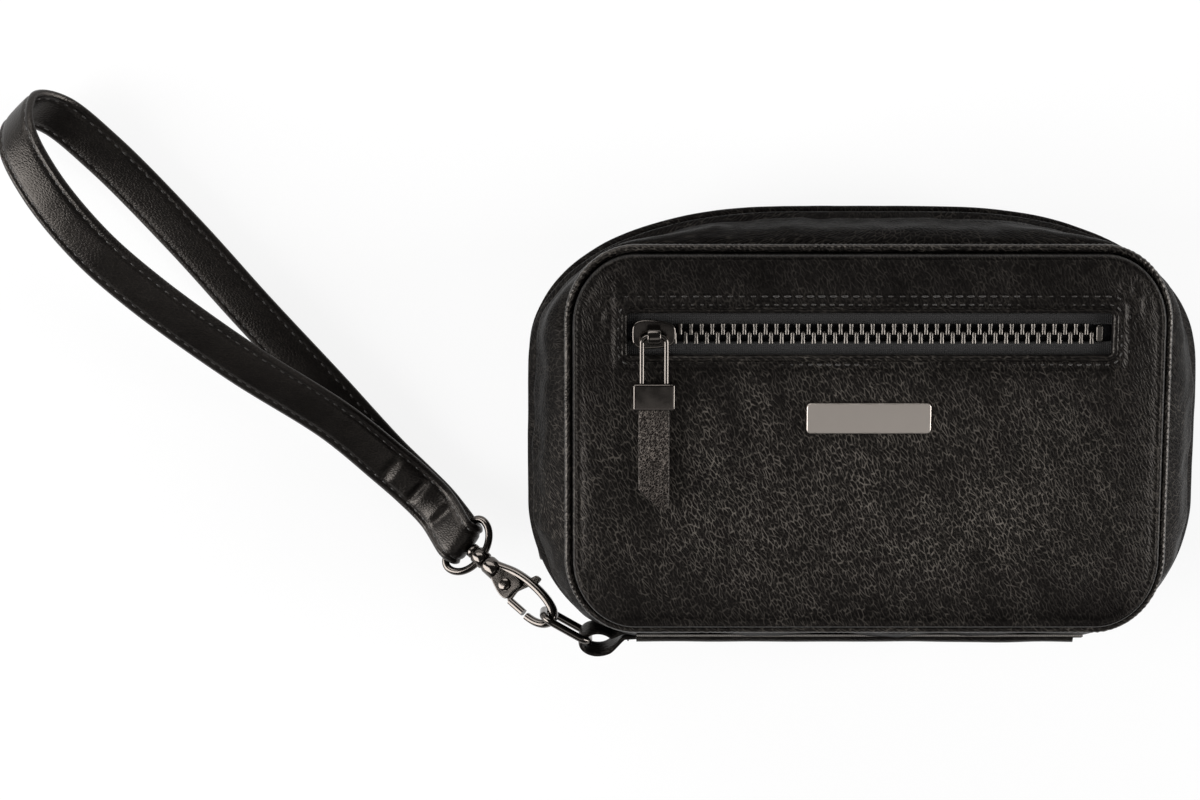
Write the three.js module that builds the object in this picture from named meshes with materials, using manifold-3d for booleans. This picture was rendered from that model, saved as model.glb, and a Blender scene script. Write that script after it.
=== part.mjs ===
// Zip-around glucose meter case with a front pocket and a clip-on wrist strap.
// Millimetres, +Z up. The case lies on its back panel: +X runs along the spine, +Y points to the
// opening side, and the front panel with its pocket faces up.

import * as THREE from "three";
import { mergeVertices } from "three/addons/utils/BufferGeometryUtils.js";
import Module from "manifold-3d";

const wasm = await Module();
wasm.setup();

// Case body
const CASE_WIDTH = 162;
const CASE_HEIGHT = 105;
const CASE_DEPTH = 54;
const CASE_TOP_CORNER_X = 66;
const CASE_TOP_CORNER_Y = 38;
const CASE_TOP_POWER = 2.3;
const CASE_BOTTOM_CORNER_X = 30;
const CASE_BOTTOM_CORNER_Y = 35;
const PANEL_WIDTH = 141;
const PANEL_HEIGHT = 91;
const PANEL_CORNER_X = 15;
const PANEL_CORNER_Y = 17;
const BACK_CORNER_X = 40;
const BACK_CORNER_Y = 28;
const PANEL_THICKNESS = 2;
const PANEL_ROLL = 3;
const PANEL_ROLL_WIDTH = 12;
const PIPING_DIAMETER = 2.4;
const GUSSET_THICKNESS = 1.6;
const GUSSET_HEM = 4;
const GUSSET_HEM_DEPTH = 5;
const ZIP_OPENING = 8;
const BOARD_THICKNESS = 1.2;
const BOARD_MARGIN = 14;
const LINING_THICKNESS = 0.8;
const SPINE_LENGTH = 110;
const SPINE_WIDTH = 24;
const SPINE_THICKNESS = 1.4;

// Gaps left between sewn layers, and between metal pieces that run on each other
const SEAM_GAP = 0.3;
const RUN_GAP = 0.3;

// Zips: the main one runs round three sides, the pocket one runs straight
const TAPE_THICKNESS = 0.7;
const TAPE_WIDTH = 5.4;
const TOOTH_THICKNESS = 2.2;
const TOOTH_STEP = 0.2;
const TOOTH_HEIGHT = 1.4;
const TOOTH_BEAD = 0.8;
const TOOTH_SHARE = 0.5;
const BACK_TOOTH_SHIFT = 0.3;
const FRONT_TOOTH_SHIFT = 0.65;
const MAIN_PITCH = 5;
const POCKET_PITCH = 2.54;
const SLIDER_WEB = 0.7;
const SLIDER_PLATE = 1;
const STOP_LENGTH = 2.2;

// Front pocket
const WINDOW_LENGTH = 118;
const WINDOW_HEIGHT = 13;
const WINDOW_CORNER = 2;
const WINDOW_Y = 26.6;
const WELT_WIDTH = 1.8;
const WELT_PROUD = 0.3;
const POCKET_WIDTH = 124;
const POCKET_TOP = 36;
const POCKET_BOTTOM = -30;
const POCKET_DEPTH = 4;
const POCKET_WALL = 0.8;
const PLATE_LENGTH = 29.6;
const PLATE_HEIGHT = 7.3;
const PLATE_THICKNESS = 0.9;
const PLATE_CORNER = 0.9;
const PLATE_Y = 6.5;
const PRONG_SPACING = 20;
const PRONG_WIDTH = 2;
const PRONG_THICKNESS = 0.8;
const PRONG_LENGTH = 3.2;

// Pocket slider and its pull
const POCKET_SLIDER_GAP = 7.8;
const SLIDER_LENGTH = 10.4;
const SLIDER_WEB_LENGTH = 4;
const SLIDER_WIDTH = 7.4;
const CROWN_LENGTH = 3.4;
const CROWN_LEG = 1.1;
const CROWN_ROOF = 0.9;
const POCKET_CROWN_RISE = 1.5;
const BAIL_DIAMETER = 1.2;
const BAIL_WIDTH = 7;
const POCKET_BAIL_REACH = 14.4;
const FERRULE_WIDTH = 9.9;
const FERRULE_HEIGHT = 6.4;
const FERRULE_THICKNESS = 2.6;
const FERRULE_GRIP = 3;
const PULL_WIDTH = 7.4;
const PULL_LENGTH = 27.5;
const PULL_THICKNESS = 1.6;
const PULL_SLANT = 5.5;

// Main slider and its pull, on the left side
const MAIN_SLIDER_RISE = 40;
const MAIN_CROWN_RISE = 0.1;
const MAIN_SLIDER_WIDTH = 7;
const MAIN_BAIL_WIDTH = 7.2;
const MAIN_BAIL_REACH = 9;
const MAIN_FERRULE_WIDTH = 7;
const MAIN_FERRULE_HEIGHT = 6.4;
const MAIN_FERRULE_THICKNESS = 2.4;
const MAIN_PULL_WIDTH = 5.4;
const MAIN_PULL_LENGTH = 12.4;
const MAIN_PULL_THICKNESS = 1.2;
const MAIN_PULL_SLANT = 2;

// Inside fittings
const ELASTIC_THICKNESS = 1;
const METER_BAND_LENGTH = 66;
const METER_BAND_WIDTH = 38;
const METER_BAND_RISE = 5;
const METER_BAND_X = -18;
const SMALL_BAND_LENGTH = 30;
const SMALL_BAND_WIDTH = 13;
const SMALL_BAND_RISE = 6;
const SMALL_BAND_X = 40;
const SMALL_BAND_Y = 15;
const SLIP_POCKET_WIDTH = 108;
const SLIP_POCKET_HEIGHT = 46;
const SLIP_POCKET_THICKNESS = 0.8;
const SLIP_POCKET_Y = -10;
const BINDING_HEIGHT = 6;
const BINDING_THICKNESS = 1.4;

// Strap chain: loop tab on the fold line, oval link, snap hook, swivel ring
const LINK_HEADING = THREE.MathUtils.degToRad(30);
const HOOK_HEADING = THREE.MathUtils.degToRad(36);
const HOOK_SLOPE = THREE.MathUtils.degToRad(28);
const TAB_WIDTH = 5;
const TAB_THICKNESS = 1.3;
const TAB_EYE_LENGTH = 7.2;
const TAB_EYE_HEIGHT = 4.4;
const TAB_NECK = 5.6;
const TAB_DROP = 1.6;
const LINK_WIRE = 1.9;
const LINK_PITCH = 13;
const LINK_INNER_WIDTH = 7.4;
const HOOK_THICKNESS = 2.8;
const HOOK_WIDTH = 9.2;
const HOOK_BAR = 2.1;
const HOOK_REACH = 20;
const HOOK_STEM = 3.4;
const HOOK_SWEEP = 4;
const CLAW_END = 3.6;
const SHOULDER = 10;
const HOOK_SLOT = 1.4;
const HOOK_COLLAR_DIAMETER = 4.8;
const HOOK_COLLAR_LENGTH = 4;
const GATE_THICKNESS = 0.8;
const GATE_BAR_THICKNESS = 2.2;
const GATE_TAIL = 1.4;
const NUB_HEIGHT = 1.6;
const SPRING_LEAF = 0.3;
const GATE_PIN_S = 12.5;
const GATE_PIN_V = 0.8;
const GATE_PIN_DIAMETER = 1.8;
const GATE_PIN_HEAD = 3.2;
const GATE_PIN_HEAD_HEIGHT = 0.5;
const POST_DIAMETER = 2;
const POST_HEAD_DIAMETER = 3.8;
const POST_HEAD_LENGTH = 1.5;
const BOSS_DIAMETER = 4.6;
const BOSS_LENGTH = 3.5;
const RING_WIRE = 1.9;
const RING_LENGTH = 15.2;
const RING_DEPTH = 7.7;
const RING_BEND = 2.3;

// Wrist strap
const STRAP_WIDTH = 12;
const STRAP_THICKNESS = 2.4;
const STRAP_LEAN = THREE.MathUtils.degToRad(10);

// Smoothness of the outlines, tubes and strap
const CORNER_STEPS = 6;
const WIRE_BEND_STEPS = 3;
const SIDE_STEPS = 3;
const GUSSET_STEPS = 5;
const PIPING_SIDES = 6;
const WIRE_SIDES = 8;
const ROUND_SIDES = 16;
const STRAP_STEPS = 3;
const BAND_STEPS = 8;

// Levels measured from the zip plane outwards, the same on both halves
const ZIP_Z = CASE_DEPTH / 2;
const PANEL_LEVEL = CASE_DEPTH / 2;
const PANEL_UNDERSIDE = PANEL_LEVEL - PANEL_THICKNESS;
const PANEL_EDGE_UNDERSIDE = PANEL_UNDERSIDE - PANEL_ROLL;
const PIPING_LEVEL = PANEL_EDGE_UNDERSIDE + PIPING_DIAMETER / 6;
const GUSSET_SEAM = PIPING_LEVEL - PIPING_DIAMETER / 2 - SEAM_GAP;
const GUSSET_EDGE = ZIP_OPENING / 2;
const TOOTH_TIP = SLIDER_WEB / 2 + RUN_GAP;
const TOOTH_FOOT = TOOTH_TIP + TOOTH_HEIGHT + TOOTH_BEAD;
const TAPE_EDGE = TOOTH_FOOT + SEAM_GAP;
const TAPE_INSET = GUSSET_HEM + SEAM_GAP;
const TAPE_MIDDLE = TAPE_INSET + TAPE_THICKNESS / 2;
const LINING_INSET = TAPE_INSET + TAPE_THICKNESS + SEAM_GAP;
const BACK_FLOOR = PANEL_UNDERSIDE - SEAM_GAP - BOARD_THICKNESS - SEAM_GAP;
const POCKET_FLOOR = PANEL_UNDERSIDE - SEAM_GAP - POCKET_DEPTH;
const FRONT_FLOOR = POCKET_FLOOR - SEAM_GAP - BOARD_THICKNESS - SEAM_GAP;
const FOLD_Y = -(CASE_HEIGHT / 2 + SEAM_GAP + SPINE_THICKNESS / 2);
const POCKET_SLIDER_X = POCKET_SLIDER_GAP - WINDOW_LENGTH / 2;
const MAIN_SLIDER_Y = MAIN_SLIDER_RISE - CASE_HEIGHT / 2;

const BACK = -1;
const FRONT = 1;

const leather = { color: 0x17161a, roughness: 0.48, metalness: 0 };
const lining = { color: 0x2b2b31, roughness: 0.9, metalness: 0 };
const board = { color: 0x5a5148, roughness: 0.9, metalness: 0 };
const webbing = { color: 0x26262a, roughness: 0.85, metalness: 0 };
const gunmetal = { color: 0x5b5a5e, roughness: 0.28, metalness: 1 };
const satin = { color: 0x8d8782, roughness: 0.42, metalness: 1 };

const assembly = new THREE.Group();

function addPiece(name, geometry, finish, parent = assembly) {
  const mesh = new THREE.Mesh(geometry, new THREE.MeshStandardMaterial(finish));
  mesh.name = name;
  parent.add(mesh);
  return mesh;
}

// Closed surface through rings of equal length. Ends are "joined" (a loop of rings), or capped by a fan.
function loft(rings, joined = false) {
  const count = rings[0].length;
  const positions = rings.flat().flatMap((p) => [p.x, p.y, p.z]);
  const index = [];
  const spans = joined ? rings.length : rings.length - 1;
  for (let i = 0; i < spans; i += 1) {
    const low = i * count;
    const high = ((i + 1) % rings.length) * count;
    for (let j = 0; j < count; j += 1) {
      const k = (j + 1) % count;
      index.push(low + j, low + k, high + k, low + j, high + k, high + j);
    }
  }
  if (!joined) {
    for (const [ring, turn] of [[0, -1], [rings.length - 1, 1]]) {
      const centre = rings[ring].reduce((sum, p) => sum.add(p), new THREE.Vector3()).divideScalar(count);
      const hub = positions.length / 3;
      positions.push(centre.x, centre.y, centre.z);
      for (let j = 0; j < count; j += 1) {
        const a = ring * count + j;
        const b = ring * count + ((j + 1) % count);
        index.push(hub, ...(turn > 0 ? [a, b] : [b, a]));
      }
    }
  }
  const geometry = new THREE.BufferGeometry();
  geometry.setAttribute("position", new THREE.Float32BufferAttribute(positions, 3));
  geometry.setIndex(index);
  return facingOut(geometry);
}

function signedVolume(geometry) {
  const p = geometry.getAttribute("position");
  const [a, b, c] = [new THREE.Vector3(), new THREE.Vector3(), new THREE.Vector3()];
  let sum = 0;
  for (let i = 0; i < geometry.index.count; i += 3) {
    a.fromBufferAttribute(p, geometry.index.getX(i));
    b.fromBufferAttribute(p, geometry.index.getX(i + 1));
    c.fromBufferAttribute(p, geometry.index.getX(i + 2));
    sum += a.dot(b.cross(c));
  }
  return sum / 6;
}

function facingOut(geometry) {
  if (signedVolume(geometry) < 0) {
    geometry.index.array.reverse();
  }
  return geometry;
}

function pointsOnly(geometry) {
  const bare = geometry.clone();
  bare.deleteAttribute("normal");
  bare.deleteAttribute("uv");
  return mergeVertices(bare, 1e-4);
}

function solid(geometry) {
  const bare = pointsOnly(geometry);
  const vertProperties = new Float32Array(bare.getAttribute("position").array);
  const triVerts = new Uint32Array(bare.index.array);
  return new wasm.Manifold(new wasm.Mesh({ numProp: 3, vertProperties, triVerts }));
}

function surface(manifold) {
  const mesh = manifold.getMesh();
  const geometry = new THREE.BufferGeometry();
  geometry.setAttribute("position", new THREE.Float32BufferAttribute(mesh.vertProperties, 3));
  geometry.setIndex(Array.from(mesh.triVerts));
  return geometry;
}

function box(width, length, height, x, y, z) {
  return new THREE.BoxGeometry(width, length, height).translate(x, y, z);
}

function rod(diameter, length, axis, x, y, z) {
  const geometry = new THREE.CylinderGeometry(diameter / 2, diameter / 2, length, ROUND_SIDES);
  if (axis === "x") {
    geometry.rotateZ(-Math.PI / 2);
  } else if (axis === "z") {
    geometry.rotateX(Math.PI / 2);
  }
  return geometry.translate(x, y, z);
}

function extrude(shape, depth, z) {
  const settings = { depth, bevelEnabled: false, curveSegments: CORNER_STEPS };
  return new THREE.ExtrudeGeometry(shape, settings).translate(0, 0, z);
}

function roundedRectangle(width, height, radius, x = 0, y = 0) {
  const shape = new THREE.Shape();
  const [w, h] = [width / 2, height / 2];
  shape.absarc(x + w - radius, y - h + radius, radius, -Math.PI / 2, 0);
  shape.absarc(x + w - radius, y + h - radius, radius, 0, Math.PI / 2);
  shape.absarc(x - w + radius, y + h - radius, radius, Math.PI / 2, Math.PI);
  shape.absarc(x - w + radius, y - h + radius, radius, Math.PI, 1.5 * Math.PI);
  return shape;
}

// Round wire along a closed line of points that lies in one plane with the given normal
function wireLoop(points, diameter, normal) {
  const rings = points.map((centre, i) => {
    const before = points[(i + points.length - 1) % points.length];
    const after = points[(i + 1) % points.length];
    const entry = new THREE.Vector3().subVectors(centre, before).normalize();
    const leave = new THREE.Vector3().subVectors(after, centre).normalize();
    const along = entry.clone().add(leave).normalize();
    const side = new THREE.Vector3().crossVectors(along, normal).divideScalar(along.dot(leave));
    return Array.from({ length: WIRE_SIDES }, (_, j) => {
      const angle = (2 * Math.PI * (j + 0.5)) / WIRE_SIDES;
      const out = side.clone().multiplyScalar((Math.cos(angle) * diameter) / 2);
      return out.addScaledVector(normal, (Math.sin(angle) * diameter) / 2).add(centre);
    });
  });
  return loft(rings, true);
}

// Outlines of the shell. Each is a rounded rectangle with its own corner ellipses, walked from the
// right side's lower end over the top to the left side and back along the spine.
const FRONT_OUTLINE = {
  width: PANEL_WIDTH, height: PANEL_HEIGHT,
  topX: PANEL_CORNER_X, topY: PANEL_CORNER_Y, topPower: 2,
  bottomX: PANEL_CORNER_X, bottomY: PANEL_CORNER_Y,
};
const BACK_OUTLINE = { ...FRONT_OUTLINE, topX: BACK_CORNER_X, topY: BACK_CORNER_Y };
const ZIP_OUTLINE = {
  width: CASE_WIDTH, height: CASE_HEIGHT,
  topX: CASE_TOP_CORNER_X, topY: CASE_TOP_CORNER_Y, topPower: CASE_TOP_POWER,
  bottomX: CASE_BOTTOM_CORNER_X, bottomY: CASE_BOTTOM_CORNER_Y,
};

function blendOutlines(a, b, share) {
  const entries = Object.keys(a).map((key) => [key, THREE.MathUtils.lerp(a[key], b[key], share)]);
  return Object.fromEntries(entries);
}

function corner(centreX, centreY, radiusX, radiusY, power, start) {
  const points = [];
  for (let i = 0; i <= CORNER_STEPS; i += 1) {
    const angle = start + (Math.PI / 2) * (i / CORNER_STEPS);
    const [c, s] = [Math.cos(angle), Math.sin(angle)];
    const x = Math.sign(c) * Math.abs(c) ** (2 / power) * radiusX;
    const y = Math.sign(s) * Math.abs(s) ** (2 / power) * radiusY;
    points.push(new THREE.Vector2(centreX + x, centreY + y));
  }
  return points;
}

function outline(spec, inset) {
  const [w, h] = [spec.width / 2 - inset, spec.height / 2 - inset];
  const [tx, ty] = [spec.topX - inset, spec.topY - inset];
  const [bx, by] = [spec.bottomX - inset, spec.bottomY - inset];
  const corners = [
    corner(w - tx, h - ty, tx, ty, spec.topPower, 0),
    corner(-w + tx, h - ty, tx, ty, spec.topPower, Math.PI / 2),
    corner(-w + bx, -h + by, bx, by, 2, Math.PI),
    corner(w - bx, -h + by, bx, by, 2, 1.5 * Math.PI),
  ];
  const points = [];
  corners.forEach((arc, i) => {
    const next = corners[(i + 1) % corners.length][0];
    points.push(...arc);
    for (let k = 1; k < SIDE_STEPS; k += 1) {
      points.push(arc[arc.length - 1].clone().lerp(next, k / SIDE_STEPS));
    }
  });
  return points;
}

function panelOutline(half) {
  return half === BACK ? BACK_OUTLINE : FRONT_OUTLINE;
}

// The wall of a half at a level above the zip plane: it swells from the panel's outline to the zip's
function wallOutline(half, level) {
  const along = THREE.MathUtils.clamp((GUSSET_SEAM - level) / (GUSSET_SEAM - GUSSET_EDGE), 0, 1);
  return blendOutlines(panelOutline(half), ZIP_OUTLINE, Math.sin((along * Math.PI) / 2));
}

function ringAt(half, spec, inset, level) {
  return outline(spec, inset).map((p) => new THREE.Vector3(p.x, p.y, ZIP_Z + half * level));
}

function wallRing(half, level, inset) {
  return ringAt(half, wallOutline(half, level), inset, level);
}

function rollDrop(inset) {
  const reach = Math.max(0, (PANEL_ROLL_WIDTH - inset) / PANEL_ROLL_WIDTH);
  return PANEL_ROLL * (1 - Math.sqrt(1 - reach * reach));
}

// Panel: flat in the middle, with an edge that rolls over to the seam
function panel(half) {
  const insets = [PANEL_ROLL_WIDTH, PANEL_ROLL_WIDTH / 2, PANEL_ROLL_WIDTH / 4, PANEL_ROLL_WIDTH / 12, 0];
  const spec = panelOutline(half);
  const outer = insets.map((d) => ringAt(half, spec, d, PANEL_LEVEL - rollDrop(d)));
  const inner = insets.map((d) => ringAt(half, spec, d, PANEL_UNDERSIDE - rollDrop(d)));
  return loft([...outer, ...inner.reverse()]);
}

function piping(half) {
  const radius = PIPING_DIAMETER / 2;
  const rings = [];
  for (let i = 0; i < PIPING_SIDES; i += 1) {
    const angle = (2 * Math.PI * i) / PIPING_SIDES;
    const inset = -(radius + SEAM_GAP + radius * Math.cos(angle));
    rings.push(ringAt(half, panelOutline(half), inset, PIPING_LEVEL + radius * Math.sin(angle)));
  }
  return loft(rings, true);
}

// Gusset: flared band with a thick turned hem along the zip
function gusset(half) {
  const levels = [];
  for (let i = 0; i <= GUSSET_STEPS; i += 1) {
    levels.push(THREE.MathUtils.lerp(GUSSET_EDGE, GUSSET_SEAM, i / GUSSET_STEPS));
  }
  const hemEnd = GUSSET_EDGE + GUSSET_HEM_DEPTH;
  const outer = levels.map((level) => wallRing(half, level, 0));
  const aboveHem = levels.filter((level) => level > hemEnd + GUSSET_THICKNESS);
  const inner = aboveHem.map((level) => wallRing(half, level, GUSSET_THICKNESS));
  inner.unshift(wallRing(half, hemEnd + GUSSET_THICKNESS, GUSSET_THICKNESS));
  const hem = [GUSSET_EDGE, hemEnd].map((level) => ringAt(half, ZIP_OUTLINE, GUSSET_HEM, level));
  return loft([...outer, ...[...hem, ...inner].reverse()], true);
}

function stiffener(half, topLevel) {
  const low = ringAt(half, panelOutline(half), BOARD_MARGIN, topLevel);
  const high = ringAt(half, panelOutline(half), BOARD_MARGIN, topLevel - BOARD_THICKNESS);
  return loft([low, high]);
}

// Lining: an open tray that follows the gusset from the floor to the zip
function liningTray(half, floor) {
  const steps = 4;
  const outer = [];
  const inner = [];
  for (let i = 0; i <= steps; i += 1) {
    const level = THREE.MathUtils.lerp(floor - LINING_THICKNESS, GUSSET_EDGE, i / steps);
    outer.push(wallRing(half, i === 0 ? floor : level, LINING_INSET));
    inner.push(wallRing(half, level, LINING_INSET + LINING_THICKNESS));
  }
  return loft([...outer, ...inner.reverse()]);
}

// The zip stops part way round both bottom corners, so the open run skips the spine side
function zipRun(points) {
  const perCorner = CORNER_STEPS + SIDE_STEPS;
  const skipped = Math.round(CORNER_STEPS / 4);
  const first = 4 * perCorner - SIDE_STEPS - (CORNER_STEPS - skipped);
  const last = 2 * perCorner + CORNER_STEPS - skipped;
  const run = [];
  for (let i = first; i <= 4 * perCorner + last; i += 1) {
    run.push(points[i % points.length]);
  }
  return run;
}

function zipTape(half) {
  const corners = [
    [TAPE_EDGE, TAPE_INSET],
    [TAPE_EDGE + TAPE_WIDTH, TAPE_INSET],
    [TAPE_EDGE + TAPE_WIDTH, TAPE_INSET + TAPE_THICKNESS],
    [TAPE_EDGE, TAPE_INSET + TAPE_THICKNESS],
  ].map(([level, inset]) => zipRun(ringAt(half, ZIP_OUTLINE, inset, level)));
  return loft(corners[0].map((_, i) => corners.map((line) => line[i])));
}

// Line of the main zip's teeth, one outline step short of the tape at both ends
function zipCurve() {
  const points = zipRun(ringAt(FRONT, ZIP_OUTLINE, TAPE_MIDDLE, 0)).slice(1, -1);
  const path = new THREE.CurvePath();
  points.slice(1).forEach((end, i) => path.add(new THREE.LineCurve3(points[i], end)));
  return path;
}

// Teeth set on a bead. Each place gives a tooth's centre on the bead's line and the line's heading.
function teethOn(bead, places, pitch, side) {
  const height = TOOTH_HEIGHT + TOOTH_BEAD / 2;
  return surface(places.reduce((row, { centre, heading }) => {
    const tooth = box(pitch * TOOTH_SHARE, TOOTH_THICKNESS - 2 * TOOTH_STEP, height, 0, 0, 0);
    tooth.rotateZ(heading).translate(centre.x, centre.y, centre.z + side * (TOOTH_TIP + height / 2));
    return row.add(solid(tooth));
  }, solid(bead)));
}

function mainTeeth(half) {
  const curve = zipCurve();
  const length = curve.getLength();
  const count = Math.floor(length / MAIN_PITCH);
  const start = (length - count * MAIN_PITCH) / 2;
  const shift = half === BACK ? BACK_TOOTH_SHIFT : FRONT_TOOTH_SHIFT;
  const places = Array.from({ length: count }, (_, i) => {
    const u = (start + (i + shift) * MAIN_PITCH) / length;
    const tangent = curve.getTangentAt(u);
    return { centre: curve.getPointAt(u), heading: Math.atan2(tangent.y, tangent.x) };
  });
  const beadTop = TOOTH_FOOT - TOOTH_BEAD;
  const edges = [[TOOTH_FOOT, -1], [TOOTH_FOOT, 1], [beadTop, 1], [beadTop, -1]];
  const lines = edges.map(([level, side]) => (
    zipRun(ringAt(half, ZIP_OUTLINE, TAPE_MIDDLE + (side * TOOTH_THICKNESS) / 2, level))
  ));
  const bead = loft(lines[0].slice(1, -1).map((_, i) => lines.map((line) => line[i + 1])));
  return teethOn(bead, places, MAIN_PITCH, half);
}

// Stop at an end of the main zip, clamped on the back tape just past the teeth
function mainStop(end) {
  const points = zipRun(ringAt(BACK, ZIP_OUTLINE, TAPE_MIDDLE, (TOOTH_TIP + TOOTH_FOOT) / 2));
  const [outer, inner] = end < 0 ? points : points.slice(-2).reverse();
  const away = outer.clone().sub(inner).normalize();
  const block = box(STOP_LENGTH, TOOTH_THICKNESS, TOOTH_HEIGHT + TOOTH_BEAD, 0, 0, 0);
  block.rotateZ(Math.atan2(away.y, away.x));
  const centre = inner.addScaledVector(away, SEAM_GAP + STOP_LENGTH / 2);
  return block.translate(centre.x, centre.y, centre.z);
}

for (const [half, side] of [[BACK, "back"], [FRONT, "front"]]) {
  addPiece(`${side}_piping`, piping(half), leather);
  addPiece(`${side}_gusset`, gusset(half), leather);
  addPiece(`${side}_zip_tape`, zipTape(half), webbing);
  addPiece(`${side}_zip_teeth`, mainTeeth(half), gunmetal);
}
addPiece("main_zip_start_stop", mainStop(-1), gunmetal);
addPiece("main_zip_end_stop", mainStop(1), gunmetal);

// Back half
addPiece("back_panel", panel(BACK), leather);
addPiece("back_board", stiffener(BACK, PANEL_UNDERSIDE - SEAM_GAP), board);
addPiece("back_lining", liningTray(BACK, BACK_FLOOR), lining);

// Spine: a leather strip over the fold, shaped like the two gussets it joins
function spine() {
  const [edge, middle] = [SPINE_WIDTH / 2, SPINE_WIDTH / 4];
  const levels = [-edge, -middle, -GUSSET_EDGE, GUSSET_EDGE, middle, edge];
  const profile = (gap) => levels.map((level) => {
    const y = -wallOutline(FRONT, Math.abs(level)).height / 2 - gap;
    return new THREE.Vector2(ZIP_Z + level, y);
  });
  const inner = profile(SEAM_GAP);
  const outer = profile(SEAM_GAP + SPINE_THICKNESS);
  const strip = extrude(new THREE.Shape([...inner, ...outer.reverse()]), SPINE_LENGTH, -SPINE_LENGTH / 2);
  const turn = new THREE.Matrix4().makeBasis(
    new THREE.Vector3(0, 0, 1), new THREE.Vector3(0, 1, 0), new THREE.Vector3(-1, 0, 0),
  );
  return strip.applyMatrix4(turn);
}
addPiece("spine_strip", spine(), leather);

// Elastic loops on the back lining, each a low arch sewn down at both ends
function elasticLoop(length, width, rise, x, y) {
  const floor = ZIP_Z - BACK_FLOOR + LINING_THICKNESS + SEAM_GAP;
  const arch = (lift) => {
    const line = [];
    for (let i = 0; i <= BAND_STEPS; i += 1) {
      const share = i / BAND_STEPS;
      const height = rise * Math.sin(Math.PI * share) ** 2;
      line.push(new THREE.Vector2(length * (share - 0.5), height + lift));
    }
    return line;
  };
  const shape = new THREE.Shape([...arch(0), ...arch(ELASTIC_THICKNESS).reverse()]);
  const strip = extrude(shape, width, -width / 2);
  return strip.rotateX(Math.PI / 2).translate(x, y, floor);
}
const meterLoop = elasticLoop(METER_BAND_LENGTH, METER_BAND_WIDTH, METER_BAND_RISE, METER_BAND_X, 0);
addPiece("meter_elastic", meterLoop, webbing);
for (const [name, y] of [["lancet_pen_elastic", SMALL_BAND_Y], ["strip_vial_elastic", -SMALL_BAND_Y]]) {
  addPiece(name, elasticLoop(SMALL_BAND_LENGTH, SMALL_BAND_WIDTH, SMALL_BAND_RISE, SMALL_BAND_X, y), webbing);
}

// Front half: panel with the pocket window and two slots for the plate's prongs
const PANEL_TOP_Z = ZIP_Z + PANEL_LEVEL;
const PANEL_BASE_Z = ZIP_Z + PANEL_UNDERSIDE;

function frontPanel() {
  const cutDepth = 3 * PANEL_THICKNESS;
  const cutZ = PANEL_BASE_Z - PANEL_THICKNESS;
  const windowShape = roundedRectangle(WINDOW_LENGTH, WINDOW_HEIGHT, WINDOW_CORNER, 0, WINDOW_Y);
  let body = solid(panel(FRONT)).subtract(solid(extrude(windowShape, cutDepth, cutZ)));
  for (const side of [-1, 1]) {
    const slotX = (side * PRONG_SPACING) / 2;
    const slotWidth = PRONG_WIDTH + 2 * SEAM_GAP;
    const slotHeight = PRONG_THICKNESS + 2 * SEAM_GAP;
    body = body.subtract(solid(box(slotWidth, slotHeight, cutDepth, slotX, PLATE_Y, cutZ + cutDepth / 2)));
  }
  return surface(body);
}
addPiece("front_panel", frontPanel(), leather);

// Blank name plate with two prongs that grip the leather from behind
function namePlate() {
  const seat = PANEL_TOP_Z + SEAM_GAP;
  const shape = roundedRectangle(PLATE_LENGTH, PLATE_HEIGHT, PLATE_CORNER, 0, PLATE_Y);
  let plate = solid(extrude(shape, PLATE_THICKNESS, seat));
  for (const side of [-1, 1]) {
    const prongZ = seat + PLATE_THICKNESS / 2 - PRONG_LENGTH / 2;
    const prongX = (side * PRONG_SPACING) / 2;
    const prong = box(PRONG_WIDTH, PRONG_THICKNESS, PRONG_LENGTH, prongX, PLATE_Y, prongZ);
    plate = plate.add(solid(prong));
  }
  return surface(plate);
}
addPiece("name_plate", namePlate(), satin);

// Welt: the leather lip that lines the pocket window
function welt() {
  const outerLength = WINDOW_LENGTH - 2 * SEAM_GAP;
  const outerHeight = WINDOW_HEIGHT - 2 * SEAM_GAP;
  const shape = roundedRectangle(outerLength, outerHeight, WINDOW_CORNER - SEAM_GAP, 0, WINDOW_Y);
  const innerCorner = WINDOW_CORNER / 2;
  const innerLength = outerLength - 2 * WELT_WIDTH;
  const innerHeight = outerHeight - 2 * WELT_WIDTH;
  shape.holes.push(roundedRectangle(innerLength, innerHeight, innerCorner, 0, WINDOW_Y));
  return extrude(shape, PANEL_THICKNESS + WELT_PROUD, PANEL_BASE_Z);
}
addPiece("pocket_welt", welt(), leather);

// Pocket zip: its tapes lie just under the welt, its teeth stand up into the window
const POCKET_TAPE_TOP = PANEL_BASE_Z - SEAM_GAP;
const POCKET_TEETH_Z = POCKET_TAPE_TOP - TAPE_THICKNESS / 2 + TOOTH_THICKNESS / 4;
const POCKET_END = WINDOW_LENGTH / 2 - 2 * SEAM_GAP - WELT_WIDTH;
const POCKET_TEETH_COUNT = Math.floor((2 * (POCKET_END - STOP_LENGTH - SEAM_GAP)) / POCKET_PITCH);
const POCKET_TEETH_LENGTH = POCKET_TEETH_COUNT * POCKET_PITCH;

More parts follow.
